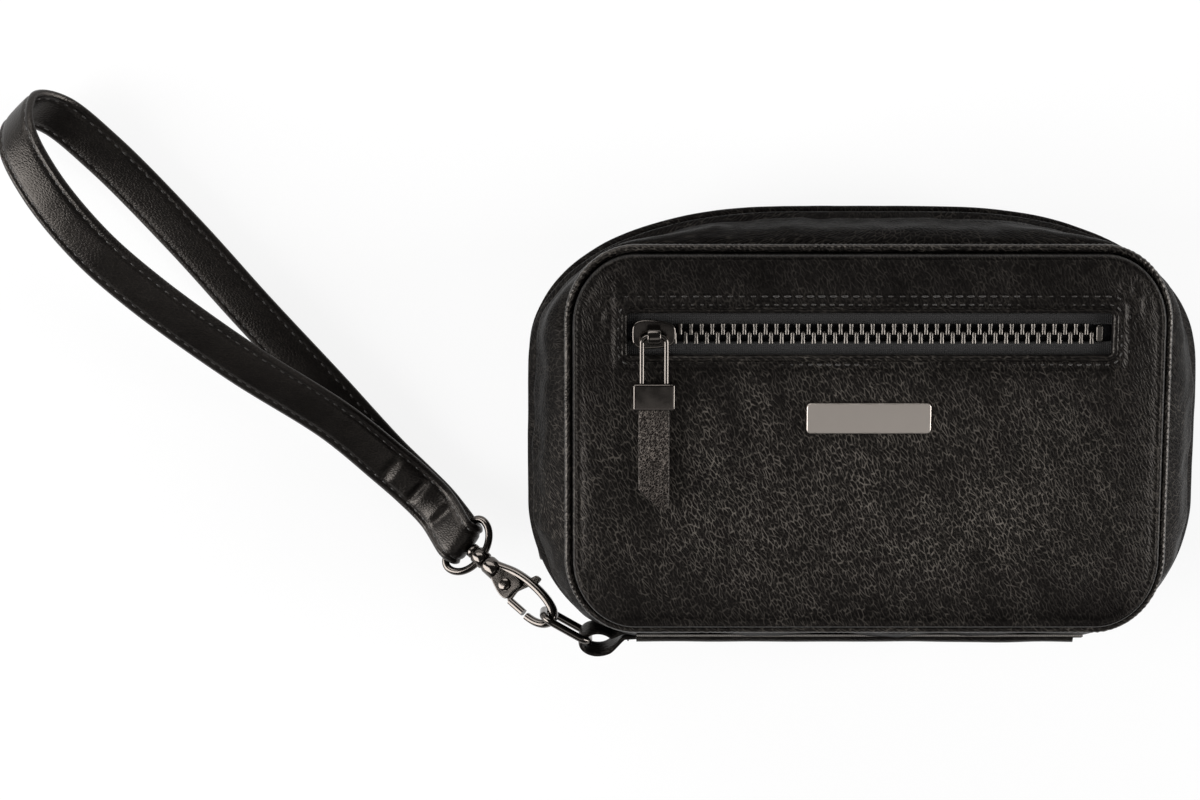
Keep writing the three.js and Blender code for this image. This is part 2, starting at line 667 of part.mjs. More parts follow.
for (const [name, side] of [["upper", 1], ["lower", -1]]) {
  const tapeWidth = WINDOW_HEIGHT / 2 + GUSSET_HEM - TAPE_EDGE;
  const tapeY = WINDOW_Y + side * (TAPE_EDGE + tapeWidth / 2);
  const tape = box(WINDOW_LENGTH, tapeWidth, TAPE_THICKNESS, 0, tapeY, POCKET_TAPE_TOP - TAPE_THICKNESS / 2);
  addPiece(`pocket_tape_${name}`, tape, webbing);
  const beadMiddle = side * (TOOTH_FOOT - TOOTH_BEAD / 2);
  const bead = box(POCKET_TEETH_LENGTH, TOOTH_THICKNESS, TOOTH_BEAD, 0, 0, beadMiddle);
  const shift = side > 0 ? BACK_TOOTH_SHIFT : FRONT_TOOTH_SHIFT;
  const places = Array.from({ length: POCKET_TEETH_COUNT }, (_, i) => {
    const x = (i + shift) * POCKET_PITCH - POCKET_TEETH_LENGTH / 2;
    return { centre: new THREE.Vector3(x, 0, 0), heading: 0 };
  });
  const row = teethOn(bead, places, POCKET_PITCH, side).rotateX(-Math.PI / 2);
  addPiece(`pocket_teeth_${name}`, row.translate(0, WINDOW_Y, POCKET_TEETH_Z), gunmetal);
}
for (const [name, side] of [["left", -1], ["right", 1]]) {
  const stopX = side * (POCKET_TEETH_LENGTH / 2 + SEAM_GAP + STOP_LENGTH / 2);
  const stop = box(STOP_LENGTH, 2 * TOOTH_FOOT, TOOTH_THICKNESS, stopX, WINDOW_Y, POCKET_TEETH_Z);
  addPiece(`pocket_zip_stop_${name}`, stop, gunmetal);
}

// Pocket bag: a shallow fabric tray behind the window
function pocketBag() {
  const height = POCKET_TOP - POCKET_BOTTOM;
  const middle = (POCKET_TOP + POCKET_BOTTOM) / 2;
  const base = ZIP_Z + POCKET_FLOOR;
  const outer = roundedRectangle(POCKET_WIDTH, height, PANEL_CORNER_X / 2, 0, middle);
  const innerWidth = POCKET_WIDTH - 2 * POCKET_WALL;
  const innerHeight = height - 2 * POCKET_WALL;
  const inner = roundedRectangle(innerWidth, innerHeight, PANEL_CORNER_X / 2 - POCKET_WALL, 0, middle);
  const rim = POCKET_DEPTH - TAPE_THICKNESS - SEAM_GAP;
  const hollow = solid(extrude(inner, POCKET_DEPTH, base + POCKET_WALL));
  return surface(solid(extrude(outer, rim, base)).subtract(hollow));
}
addPiece("pocket_bag", pocketBag(), lining);
addPiece("front_board", stiffener(FRONT, POCKET_FLOOR - SEAM_GAP), board);
addPiece("front_lining", liningTray(FRONT, FRONT_FLOOR), lining);

// Slip pocket on the lid's lining, bound along its mouth
const LID_FLOOR_Z = ZIP_Z + FRONT_FLOOR - LINING_THICKNESS;
const slipZ = LID_FLOOR_Z - SEAM_GAP - SLIP_POCKET_THICKNESS / 2;
const slipHeight = SLIP_POCKET_HEIGHT - BINDING_HEIGHT - SEAM_GAP;
const slipY = SLIP_POCKET_Y - (SLIP_POCKET_HEIGHT - slipHeight) / 2;
const slip = box(SLIP_POCKET_WIDTH, slipHeight, SLIP_POCKET_THICKNESS, 0, slipY, slipZ);
addPiece("slip_pocket", slip, lining);
const bindingY = SLIP_POCKET_Y + (SLIP_POCKET_HEIGHT - BINDING_HEIGHT) / 2;
const bindingZ = LID_FLOOR_Z - SEAM_GAP - BINDING_THICKNESS / 2;
const binding = box(SLIP_POCKET_WIDTH, BINDING_HEIGHT, BINDING_THICKNESS, 0, bindingY, bindingZ);
addPiece("slip_pocket_binding", binding, webbing);

// Slider, modelled flat: it runs along x, its outer plate and crown face +z, the teeth lie at z = 0
const PLATE_GAP = TOOTH_THICKNESS / 2 + RUN_GAP;
const CROWN_BASE = PLATE_GAP + SLIDER_PLATE;
const CROWN_TUNNEL = BAIL_DIAMETER + 2 * RUN_GAP;

function bailLevel(crownRise) {
  return CROWN_BASE + crownRise + CROWN_TUNNEL / 2;
}

function slider(width, crownRise, crownTurn) {
  const shape = roundedRectangle(SLIDER_LENGTH, width, width / 4);
  const legHeight = crownRise + CROWN_TUNNEL + CROWN_ROOF;
  const crownWidth = CROWN_TUNNEL + 2 * CROWN_LEG;
  const web = box(SLIDER_WEB_LENGTH, SLIDER_WEB, 2 * PLATE_GAP + SLIDER_PLATE, 0, 0, 0);
  const crown = box(CROWN_LENGTH, crownWidth, legHeight, 0, 0, CROWN_BASE + legHeight / 2);
  const tunnel = box(2 * CROWN_LENGTH, CROWN_TUNNEL, CROWN_TUNNEL, 0, 0, bailLevel(crownRise));
  crown.rotateZ(crownTurn);
  tunnel.rotateZ(crownTurn);
  const outer = solid(extrude(shape, SLIDER_PLATE, PLATE_GAP));
  const inner = solid(extrude(shape, SLIDER_PLATE, -PLATE_GAP - SLIDER_PLATE));
  const plates = outer.add(inner).add(solid(web));
  return surface(plates.add(solid(crown)).subtract(solid(tunnel)));
}

// Wire bail through the crown; it lies towards -y from the hinge line at the origin
function bail(width, reach) {
  const half = (width - BAIL_DIAMETER) / 2;
  const far = -(reach - BAIL_DIAMETER);
  const bend = BAIL_DIAMETER;
  const corners = [
    [half - bend, 0], [half, -bend], [half, far + bend], [half - bend, far],
    [-half + bend, far], [-half, far + bend], [-half, -bend], [-half + bend, 0],
  ].map(([x, y]) => new THREE.Vector3(x, y, 0));
  return wireLoop(corners, BAIL_DIAMETER, new THREE.Vector3(0, 0, 1));
}

// Folded metal end of the pull: a tunnel for the bail and a slot for the leather
function ferrule(width, height, thickness, reach, leatherWidth, leatherThickness) {
  const top = -(reach - BAIL_DIAMETER) + BAIL_DIAMETER / 2 + RUN_GAP + SLIDER_PLATE;
  const block = solid(box(width, height, thickness, 0, top - height / 2, 0));
  const tunnelWidth = BAIL_DIAMETER + 2 * RUN_GAP;
  const tunnelY = -(reach - BAIL_DIAMETER);
  const tunnel = solid(box(2 * width, tunnelWidth, tunnelWidth, 0, tunnelY, 0));
  const armSlot = solid(box(reach, height, tunnelWidth, 0, tunnelY + height / 2, 0));
  const bottom = top - height;
  const slotWidth = leatherWidth + 2 * SEAM_GAP;
  const slotHeight = leatherThickness + 2 * SEAM_GAP;
  const slot = solid(box(slotWidth, 2 * FERRULE_GRIP, slotHeight, 0, bottom, 0));
  return { body: block, tunnel, armSlot, slot, bottom };
}

function ferruleSurface(parts) {
  return surface(parts.body.subtract(parts.tunnel).subtract(parts.armSlot).subtract(parts.slot));
}

function pullTab(bottom, width, length, thickness, slant) {
  const top = bottom + FERRULE_GRIP - SEAM_GAP;
  const shape = new THREE.Shape();
  shape.moveTo(-width / 2, top);
  shape.lineTo(-width / 2, top - length + slant);
  shape.lineTo(width / 2 - width / 6, top - length);
  shape.lineTo(width / 2, top - length + slant / 4);
  shape.lineTo(width / 2, top);
  return extrude(shape, thickness, -thickness / 2);
}

const pocketRunner = new THREE.Group();
pocketRunner.position.set(POCKET_SLIDER_X, WINDOW_Y, POCKET_TEETH_Z);
assembly.add(pocketRunner);
addPiece("pocket_slider", slider(SLIDER_WIDTH, POCKET_CROWN_RISE, 0), gunmetal, pocketRunner);

const pocketPull = new THREE.Group();
pocketPull.position.z = bailLevel(POCKET_CROWN_RISE);
pocketRunner.add(pocketPull);
const pocketFerrule = ferrule(
  FERRULE_WIDTH, FERRULE_HEIGHT, FERRULE_THICKNESS, POCKET_BAIL_REACH, PULL_WIDTH, PULL_THICKNESS,
);
addPiece("pocket_pull_bail", bail(BAIL_WIDTH, POCKET_BAIL_REACH), gunmetal, pocketPull);
addPiece("pocket_pull_ferrule", ferruleSurface(pocketFerrule), gunmetal, pocketPull);
const pocketTab = pullTab(pocketFerrule.bottom, PULL_WIDTH, PULL_LENGTH, PULL_THICKNESS, PULL_SLANT);
addPiece("pocket_pull_tab", pocketTab, leather, pocketPull);

// Main slider: the same slider turned to run along the left side, crown facing out
const mainRunner = new THREE.Group();
mainRunner.position.set(-CASE_WIDTH / 2 + TAPE_MIDDLE, MAIN_SLIDER_Y, ZIP_Z);
const runAlongSide = new THREE.Matrix4().makeBasis(
  new THREE.Vector3(0, 1, 0), new THREE.Vector3(0, 0, -1), new THREE.Vector3(-1, 0, 0),
);
mainRunner.quaternion.setFromRotationMatrix(runAlongSide);
assembly.add(mainRunner);
const MAIN_CROWN_TURN = -Math.PI / 2;
addPiece("main_slider", slider(MAIN_SLIDER_WIDTH, MAIN_CROWN_RISE, MAIN_CROWN_TURN), gunmetal, mainRunner);

const mainPull = new THREE.Group();
mainPull.position.z = bailLevel(MAIN_CROWN_RISE);
mainPull.rotation.z = MAIN_CROWN_TURN;
mainRunner.add(mainPull);
const mainFerrule = ferrule(
  MAIN_FERRULE_WIDTH, MAIN_FERRULE_HEIGHT, MAIN_FERRULE_THICKNESS,
  MAIN_BAIL_REACH, MAIN_PULL_WIDTH, MAIN_PULL_THICKNESS,
);
addPiece("main_pull_bail", bail(MAIN_BAIL_WIDTH, MAIN_BAIL_REACH), gunmetal, mainPull);
addPiece("main_pull_ferrule", ferruleSurface(mainFerrule), gunmetal, mainPull);
const mainTab = pullTab(
  mainFerrule.bottom, MAIN_PULL_WIDTH, MAIN_PULL_LENGTH, MAIN_PULL_THICKNESS, MAIN_PULL_SLANT,
);
addPiece("main_pull_tab", mainTab, leather, mainPull);

// Loop tab: a leather strip sewn in at the spine's left end, on the fold line so that it stays put
// when the lid opens. Its eye holds the link.
const TAB_ROOT_X = -(SPINE_LENGTH / 2 + SEAM_GAP);
const EYE_X = TAB_ROOT_X - TAB_NECK - TAB_EYE_LENGTH / 2;
const EYE_Y = FOLD_Y - TAB_DROP;

function loopTab() {
  const eye = new THREE.Shape();
  const outerX = TAB_EYE_LENGTH / 2 + TAB_THICKNESS;
  const outerY = TAB_EYE_HEIGHT / 2 + TAB_THICKNESS;
  eye.absellipse(EYE_X, EYE_Y, outerX, outerY, 0, 2 * Math.PI);
  const neck = new THREE.Shape();
  neck.moveTo(TAB_ROOT_X, FOLD_Y + TAB_THICKNESS);
  neck.lineTo(EYE_X + TAB_EYE_LENGTH / 3, EYE_Y + outerY / 2);
  neck.lineTo(EYE_X + TAB_EYE_LENGTH / 3, EYE_Y - outerY / 2);
  neck.lineTo(TAB_ROOT_X, FOLD_Y - TAB_THICKNESS);
  const hole = new THREE.Shape();
  hole.absellipse(EYE_X, EYE_Y, TAB_EYE_LENGTH / 2, TAB_EYE_HEIGHT / 2, 0, 2 * Math.PI);
  const base = ZIP_Z - TAB_WIDTH / 2;
  const strip = solid(extrude(eye, TAB_WIDTH, base)).add(solid(extrude(neck, TAB_WIDTH, base)));
  return surface(strip.subtract(solid(extrude(hole, 3 * TAB_WIDTH, base - TAB_WIDTH))));
}
addPiece("loop_tab", loopTab(), leather);

// Oval link: its near bar stands in the tab's eye, its far bar in the hook
const linkFrame = new THREE.Group();
linkFrame.position.set(EYE_X - TAB_EYE_LENGTH / 2 + LINK_WIRE / 2 + RUN_GAP, EYE_Y, ZIP_Z);
linkFrame.rotation.z = Math.PI - LINK_HEADING;
assembly.add(linkFrame);

function ovalLink() {
  const rise = (LINK_INNER_WIDTH + LINK_WIRE) / 2;
  const bend = LINK_WIRE;
  const bends = [
    [LINK_PITCH - bend, rise - bend, Math.PI / 2], [LINK_PITCH - bend, bend - rise, 0],
    [bend, bend - rise, -Math.PI / 2], [bend, rise - bend, Math.PI],
  ];
  const points = bends.flatMap(([x, z, start]) => (
    Array.from({ length: WIRE_BEND_STEPS + 1 }, (_, i) => {
      const angle = start - (Math.PI / 2) * (i / WIRE_BEND_STEPS);
      return new THREE.Vector3(x + bend * Math.cos(angle), 0, z + bend * Math.sin(angle));
    })
  ));
  return wireLoop(points, LINK_WIRE, new THREE.Vector3(0, 1, 0));
}
addPiece("chain_link", ovalLink(), gunmetal, linkFrame);

// Snap hook, drawn in its own plane: s runs from the link to the strap, v across with the gate on +v
const hookFrame = new THREE.Group();
linkFrame.updateMatrix();
hookFrame.position.set(LINK_PITCH, 0, 0).applyMatrix4(linkFrame.matrix);
const hookAlong = new THREE.Vector3(
  -Math.cos(HOOK_HEADING) * Math.cos(HOOK_SLOPE),
  Math.sin(HOOK_HEADING) * Math.cos(HOOK_SLOPE),
  -Math.sin(HOOK_SLOPE),
);
const hookAcross = new THREE.Vector3(-Math.sin(HOOK_HEADING), -Math.cos(HOOK_HEADING), 0);
const hookUp = new THREE.Vector3().crossVectors(hookAlong, hookAcross);
hookFrame.quaternion.setFromRotationMatrix(new THREE.Matrix4().makeBasis(hookAlong, hookAcross, hookUp));
assembly.add(hookFrame);

const TILTED_WIRE = LINK_WIRE / 2 / Math.cos(HOOK_SLOPE) + (HOOK_THICKNESS / 2) * Math.tan(HOOK_SLOPE);
const CLAW_TIP = -(TILTED_WIRE + RUN_GAP);
const SLOT_END = HOOK_REACH - HOOK_COLLAR_LENGTH;

function hookOutline() {
  const [half, bar, stem] = [HOOK_WIDTH / 2, HOOK_BAR, HOOK_STEM / 2];
  const inner = half - bar;
  const nose = CLAW_TIP - bar;
  const shape = new THREE.Shape();
  shape.moveTo(HOOK_REACH, -stem);
  shape.bezierCurveTo(SLOT_END, -stem, SHOULDER + HOOK_SWEEP, -half, SHOULDER - HOOK_SWEEP, -half);
  shape.bezierCurveTo(0, -half, nose, -inner, nose, 0);
  shape.bezierCurveTo(nose, inner, 0, half, CLAW_END, half);
  shape.lineTo(CLAW_END, inner);
  shape.bezierCurveTo(1, inner, CLAW_TIP, inner / 2, CLAW_TIP, 0);
  shape.bezierCurveTo(CLAW_TIP, -inner / 2, 1, -inner, SHOULDER - bar, -inner);
  shape.lineTo(SHOULDER, 0);
  shape.lineTo(SHOULDER, inner);
  shape.lineTo(SHOULDER + bar / 2, half - bar / 2);
  shape.bezierCurveTo(SHOULDER + HOOK_SWEEP, half - bar / 2, SLOT_END, stem, HOOK_REACH, stem);
  return shape;
}

function hookBody() {
  const body = solid(extrude(hookOutline(), HOOK_THICKNESS, -HOOK_THICKNESS / 2));
  const collarS = HOOK_REACH + RUN_GAP - HOOK_COLLAR_LENGTH / 2;
  const collar = solid(rod(HOOK_COLLAR_DIAMETER, HOOK_COLLAR_LENGTH, "x", collarS, 0, 0));
  const bore = solid(rod(POST_DIAMETER + 2 * RUN_GAP, HOOK_COLLAR_LENGTH, "x", collarS + RUN_GAP, 0, 0));
  const slotStart = CLAW_END + RUN_GAP;
  const slotLength = SLOT_END - slotStart;
  const slot = solid(box(slotLength, 2 * HOOK_WIDTH, HOOK_SLOT, slotStart + slotLength / 2, 0, 0));
  const pinHole = rod(GATE_PIN_DIAMETER + 2 * RUN_GAP, 2 * HOOK_THICKNESS, "z", GATE_PIN_S, GATE_PIN_V, 0);
  return surface(body.subtract(slot).add(collar).subtract(bore).subtract(solid(pinHole)));
}
addPiece("hook_body", hookBody(), gunmetal, hookFrame);

// Gate lever: a thin plate in the hook's slot, thickened to a bar where it closes the claw, with a
// thumb nub that stands out on the far side
function hookGate() {
  const outer = HOOK_WIDTH / 2 - RUN_GAP;
  const inner = HOOK_WIDTH / 2 - HOOK_BAR;
  const tip = CLAW_END + 2 * RUN_GAP;
  const heel = SHOULDER - HOOK_BAR / 2;
  const nub = -HOOK_WIDTH / 2 - NUB_HEIGHT;
  const lever = new THREE.Shape([
    [GATE_PIN_S + GATE_TAIL, GATE_PIN_V - GATE_TAIL], [GATE_PIN_S + GATE_TAIL, GATE_PIN_V + GATE_TAIL],
    [GATE_PIN_S - GATE_TAIL, GATE_PIN_V + GATE_TAIL + RUN_GAP], [heel, outer], [tip + RUN_GAP, outer],
    [tip, inner], [heel, inner - RUN_GAP], [heel, RUN_GAP], [heel - NUB_HEIGHT, -inner],
    [heel - 2 * NUB_HEIGHT, nub + NUB_HEIGHT], [heel - 2 * NUB_HEIGHT, nub], [heel - NUB_HEIGHT, nub],
    [heel - NUB_HEIGHT / 2, nub + NUB_HEIGHT], [heel + NUB_HEIGHT, -inner],
  ].map(([along, across]) => new THREE.Vector2(along, across)));
  const bar = new THREE.Shape([
    [tip + RUN_GAP, outer], [tip, inner], [heel, inner - RUN_GAP], [heel, outer],
  ].map(([along, across]) => new THREE.Vector2(along, across)));
  const plate = solid(extrude(lever, GATE_THICKNESS, -GATE_THICKNESS / 2));
  const thick = solid(extrude(bar, GATE_BAR_THICKNESS, -GATE_BAR_THICKNESS / 2));
  const hole = rod(GATE_PIN_DIAMETER + 2 * RUN_GAP, 2 * HOOK_THICKNESS, "z", GATE_PIN_S, GATE_PIN_V, 0);
  return surface(plate.add(thick).subtract(solid(hole)));
}
addPiece("hook_gate", hookGate(), gunmetal, hookFrame);

function gatePin() {
  const length = HOOK_THICKNESS + 2 * RUN_GAP + GATE_PIN_HEAD_HEIGHT;
  const shank = solid(rod(GATE_PIN_DIAMETER, length, "z", 0, 0, 0));
  const headZ = HOOK_THICKNESS / 2 + RUN_GAP + GATE_PIN_HEAD_HEIGHT / 2;
  const upper = solid(rod(GATE_PIN_HEAD, GATE_PIN_HEAD_HEIGHT, "z", 0, 0, headZ));
  const lower = solid(rod(GATE_PIN_HEAD, GATE_PIN_HEAD_HEIGHT, "z", 0, 0, -headZ));
  return surface(shank.add(upper).add(lower)).translate(GATE_PIN_S, GATE_PIN_V, 0);
}
addPiece("gate_pin", gatePin(), gunmetal, hookFrame);

// Folded leaf spring between the lever's tail and the end of the slot
function gateSpring() {
  const start = GATE_PIN_S + GATE_TAIL + RUN_GAP;
  const end = SLOT_END - RUN_GAP;
  const leaf = new THREE.Shape();
  leaf.moveTo(start, GATE_PIN_V - GATE_TAIL);
  leaf.lineTo(end, GATE_PIN_V + GATE_TAIL);
  leaf.lineTo(end, GATE_PIN_V - GATE_TAIL);
  leaf.lineTo(end - SPRING_LEAF, GATE_PIN_V - GATE_TAIL);
  leaf.lineTo(end - SPRING_LEAF, GATE_PIN_V);
  leaf.lineTo(start + SPRING_LEAF, GATE_PIN_V - GATE_TAIL);
  return extrude(leaf, GATE_THICKNESS, -GATE_THICKNESS / 2);
}
addPiece("gate_spring", gateSpring(), gunmetal, hookFrame);

// Swivel: a post riveted in the hook's collar turns in the ring's boss
const BOSS_START = HOOK_REACH + 2 * RUN_GAP;
const BOSS_END = BOSS_START + BOSS_LENGTH;
const RING_ARC = BOSS_START + BOSS_LENGTH / 2;
const RING_BAR = RING_ARC + RING_DEPTH;

function swivelPost() {
  const start = HOOK_REACH + 3 * RUN_GAP - HOOK_COLLAR_LENGTH;
  const end = BOSS_END + RUN_GAP + POST_HEAD_LENGTH / 2;
  const shank = solid(rod(POST_DIAMETER, end - start, "x", (start + end) / 2, 0, 0));
  const headS = BOSS_END + RUN_GAP + POST_HEAD_LENGTH / 2;
  return surface(shank.add(solid(rod(POST_HEAD_DIAMETER, POST_HEAD_LENGTH, "x", headS, 0, 0))));
}
addPiece("swivel_post", swivelPost(), gunmetal, hookFrame);

function swivelRing() {
  const half = RING_LENGTH / 2;
  const bend = RING_BEND;
  const points = [new THREE.Vector3(RING_BAR, 0, 0)];
  for (let i = 0; i <= WIRE_BEND_STEPS; i += 1) {
    const angle = (Math.PI / 2) * (i / WIRE_BEND_STEPS);
    const x = RING_BAR - bend + bend * Math.cos(angle);
    points.push(new THREE.Vector3(x, half - bend + bend * Math.sin(angle), 0));
  }
  const reach = RING_BAR - bend - RING_ARC;
  for (let i = 1; i <= CORNER_STEPS; i += 1) {
    const angle = (Math.PI / 2) * (i / CORNER_STEPS);
    points.push(new THREE.Vector3(RING_BAR - bend - reach * Math.sin(angle), half * Math.cos(angle), 0));
  }
  const mirrored = points.slice(1, -1).reverse().map((p) => new THREE.Vector3(p.x, -p.y, p.z));
  const wire = solid(wireLoop([...points, ...mirrored], RING_WIRE, new THREE.Vector3(0, 0, 1)));
  const boss = solid(rod(BOSS_DIAMETER, BOSS_LENGTH, "x", RING_ARC, 0, 0));
  const bore = solid(rod(POST_DIAMETER + 2 * RUN_GAP, 2 * BOSS_LENGTH, "x", RING_ARC, 0, 0));
  return surface(wire.add(boss).subtract(bore));
}
addPiece("swivel_ring", swivelRing(), gunmetal, hookFrame);

// Wrist strap: a flat band that wraps the ring's bar, is sewn to itself for a short way, and lies in
// a loop on the table. Points are offsets from the bar in X and Y, and heights above the table.
const STRAP_OVER = [
  [-6, 7.2, 9.6], [-12, 13, 8], [-18.5, 18.8, 8.2], [-31, 30, 11.2], [-54, 46.6, 18], [-77, 65, 23],
  [-90, 77.5, 25], [-101.5, 92, 24], [-107.5, 103, 19.5], [-107, 109, 11.5], [-100.5, 107, 5.2],
];
const STRAP_UNDER = [
  [-89, 97, 2.8], [-69, 76, 2.6], [-52, 56.5, 2.6], [-33, 35.5, 2.6], [-18.5, 19.2, 3.4],
  [-12, 13, 4.9], [-6, 7.2, 6.6],
];
const STRAP_WRAP_STEPS = 6;
const STRAP_TWIST_START = 8;
const STRAP_TWIST_END = 45;

hookFrame.updateMatrix();
const ringBar = new THREE.Vector3(RING_BAR, 0, 0).applyMatrix4(hookFrame.matrix);

function strapRoute() {
  const place = ([x, y, z]) => new THREE.Vector3(ringBar.x + x, ringBar.y + y, z);
  const radius = RING_WIRE / 2 + RUN_GAP + STRAP_THICKNESS / 2;
  const wrap = [];
  for (let i = 0; i <= STRAP_WRAP_STEPS; i += 1) {
    const angle = Math.PI * (1.5 - i / STRAP_WRAP_STEPS);
    const point = ringBar.clone().addScaledVector(hookAlong, radius * Math.cos(angle));
    wrap.push(point.addScaledVector(hookUp, radius * Math.sin(angle)));
  }
  const points = [...wrap, ...STRAP_OVER.map(place), ...STRAP_UNDER.map(place)];
  return new THREE.CatmullRomCurve3(points, true, "centripetal");
}

function wristStrap() {
  const route = strapRoute();
  const run = STRAP_OVER[STRAP_OVER.length - 2];
  const level = new THREE.Vector3(run[1], -run[0], 0).normalize();
  const leaning = level.clone().multiplyScalar(Math.cos(STRAP_LEAN));
  leaning.z = Math.sin(STRAP_LEAN);
  const atBar = hookAcross.clone().negate();
  const [w, t] = [STRAP_WIDTH / 2, STRAP_THICKNESS / 2];
  const soft = t / 2;
  const section = [
    [w, -soft], [w, soft], [w - soft, t], [-w + soft, t],
    [-w, soft], [-w, -soft], [-w + soft, -t], [w - soft, -t],
  ];
  const rings = [];
  const steps = STRAP_STEPS * route.points.length;
  for (let i = 0; i < steps; i += 1) {
    const centre = route.getPoint(i / steps);
    const tangent = route.getTangent(i / steps);
    const reach = centre.distanceTo(ringBar);
    const share = THREE.MathUtils.smoothstep(reach, STRAP_TWIST_START, STRAP_TWIST_END);
    const across = atBar.clone().lerp(leaning, share);
    const face = new THREE.Vector3().crossVectors(tangent, across).normalize();
    across.crossVectors(face, tangent).normalize();
    rings.push(section.map(([a, b]) => centre.clone().addScaledVector(across, a).addScaledVector(face, b)));
  }
  return loft(rings, true);
}
addPiece("wrist_strap", wristStrap(), leather);

export default assembly;
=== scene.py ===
"""Dressed model of a zip-around meter case with a zipped front pocket and a clip-on wrist strap.

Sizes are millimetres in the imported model's frame: +X runs along the spine, +Y points to the opening side,
+Z out of the front panel, and z = 0 is the face of the back panel. Meshes are written in metres.
"""

from __future__ import annotations

import logging
import math
from dataclasses import dataclass, field, replace
from enum import Enum
from typing import Sequence

import bpy
import numpy as np
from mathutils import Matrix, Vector

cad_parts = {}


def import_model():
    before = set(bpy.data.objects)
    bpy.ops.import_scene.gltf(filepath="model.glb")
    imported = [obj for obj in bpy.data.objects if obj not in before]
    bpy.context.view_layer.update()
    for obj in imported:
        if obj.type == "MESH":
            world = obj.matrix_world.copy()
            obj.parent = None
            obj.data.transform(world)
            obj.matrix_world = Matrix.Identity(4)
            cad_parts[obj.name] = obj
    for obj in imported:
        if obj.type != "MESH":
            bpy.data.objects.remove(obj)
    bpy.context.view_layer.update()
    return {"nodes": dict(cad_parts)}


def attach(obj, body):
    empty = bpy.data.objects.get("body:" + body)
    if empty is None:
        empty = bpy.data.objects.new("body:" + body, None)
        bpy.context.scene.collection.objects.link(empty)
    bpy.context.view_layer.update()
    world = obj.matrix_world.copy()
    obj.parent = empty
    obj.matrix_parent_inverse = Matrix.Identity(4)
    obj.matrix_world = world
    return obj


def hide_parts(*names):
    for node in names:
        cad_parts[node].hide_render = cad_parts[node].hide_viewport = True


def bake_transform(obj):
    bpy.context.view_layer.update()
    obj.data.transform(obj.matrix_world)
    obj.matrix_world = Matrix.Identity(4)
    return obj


LOG = logging.getLogger("meter_case")
MM = 0.001
TURN = 2.0 * math.pi
QUARTER = math.pi / 2.0
X_AXIS, Y_AXIS, Z_AXIS = np.eye(3)
LEVEL = X_AXIS + Y_AXIS

Array = np.ndarray


class Half(Enum):
    """The two halves of the clamshell, with the sign of their outward z direction."""

    BACK = -1
    FRONT = 1

    @property
    def body(self) -> str:
        """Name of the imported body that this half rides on."""
        return f"{self.name.lower()}_shell"

    def node(self, piece: str) -> str:
        """Name of this half's node for a piece that both halves have."""
        return f"{self.name.lower()}_{piece}"


class Slot(Enum):
    """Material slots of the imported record."""

    LEATHER = "leather"
    LINING = "lining"
    BOARD = "board"
    WEBBING = "webbing"
    GUNMETAL = "gunmetal"
    SATIN_PLATE = "satin_plate"


# Small numeric helpers


def unit(vectors: Array) -> Array:
    """Vectors scaled to length one along their last axis."""
    return vectors / np.linalg.norm(vectors, axis=-1, keepdims=True)


def ease(values: Array, low: float, high: float) -> Array:
    """Smooth step from 0 at low to 1 at high: t squared times (3 - 2 t)."""
    t = np.clip((values - low) / (high - low), 0.0, 1.0)
    return t * t * (3.0 - 2.0 * t)


def bell(values: Array, centre: float, width: float) -> Array:
    """Bell curve of height one: exp(-((x - centre) / width) squared)."""
    return np.exp(-(((values - centre) / width) ** 2))


def crumple(points: Array, wavelength: float, seed: int, count: int = 14) -> Array:
    """Soft unevenness: the sum of plane waves of random heading, length and phase.

    Args:
        points: Places in millimetres, with xyz on the last axis.
        wavelength: Typical distance between crests.
        seed: Seed of the random draw.
        count: Number of waves.

    Returns:
        A height of about unit size for each point.
    """
    rng = np.random.default_rng(seed)
    heading = unit(rng.normal(size=(count, 3)))
    number = TURN / (wavelength * rng.uniform(0.7, 1.7, count))
    phase = rng.uniform(0.0, TURN, count)
    return np.sin(points @ (heading * number[:, None]).T + phase).sum(-1) / math.sqrt(count)


def tangents(path: Array, closed: bool) -> Array:
    """Unit direction of travel at each point of a path, by central differences."""
    if closed:
        return unit(np.roll(path, -1, axis=0) - np.roll(path, 1, axis=0))
    return unit(np.gradient(path, axis=0))


def evenly(path: Array, spacing: float, closed: bool, *riders: Array) -> tuple[Array, ...]:
    """Resamples a path at equal arc length.

    Args:
        path: Points of the path.
        spacing: Wanted distance between the new points.
        closed: Whether the last point joins the first.
        riders: Further arrays that are carried along with the points.

    Returns:
        The new path and the riders at the same places.
    """
    tables = [np.concatenate([t, t[:1]]) if closed else t for t in (path, *riders)]
    steps = np.linalg.norm(np.diff(tables[0], axis=0), axis=1)
    arc = np.concatenate([[0.0], np.cumsum(steps)])
    count = max(2, int(round(arc[-1] / spacing)))
    at = np.linspace(0.0, arc[-1], count + 1)[: count if closed else count + 1]
    return tuple(
        np.stack([np.interp(at, arc, t[:, k]) for k in range(t.shape[1])], axis=1) for t in tables
    )


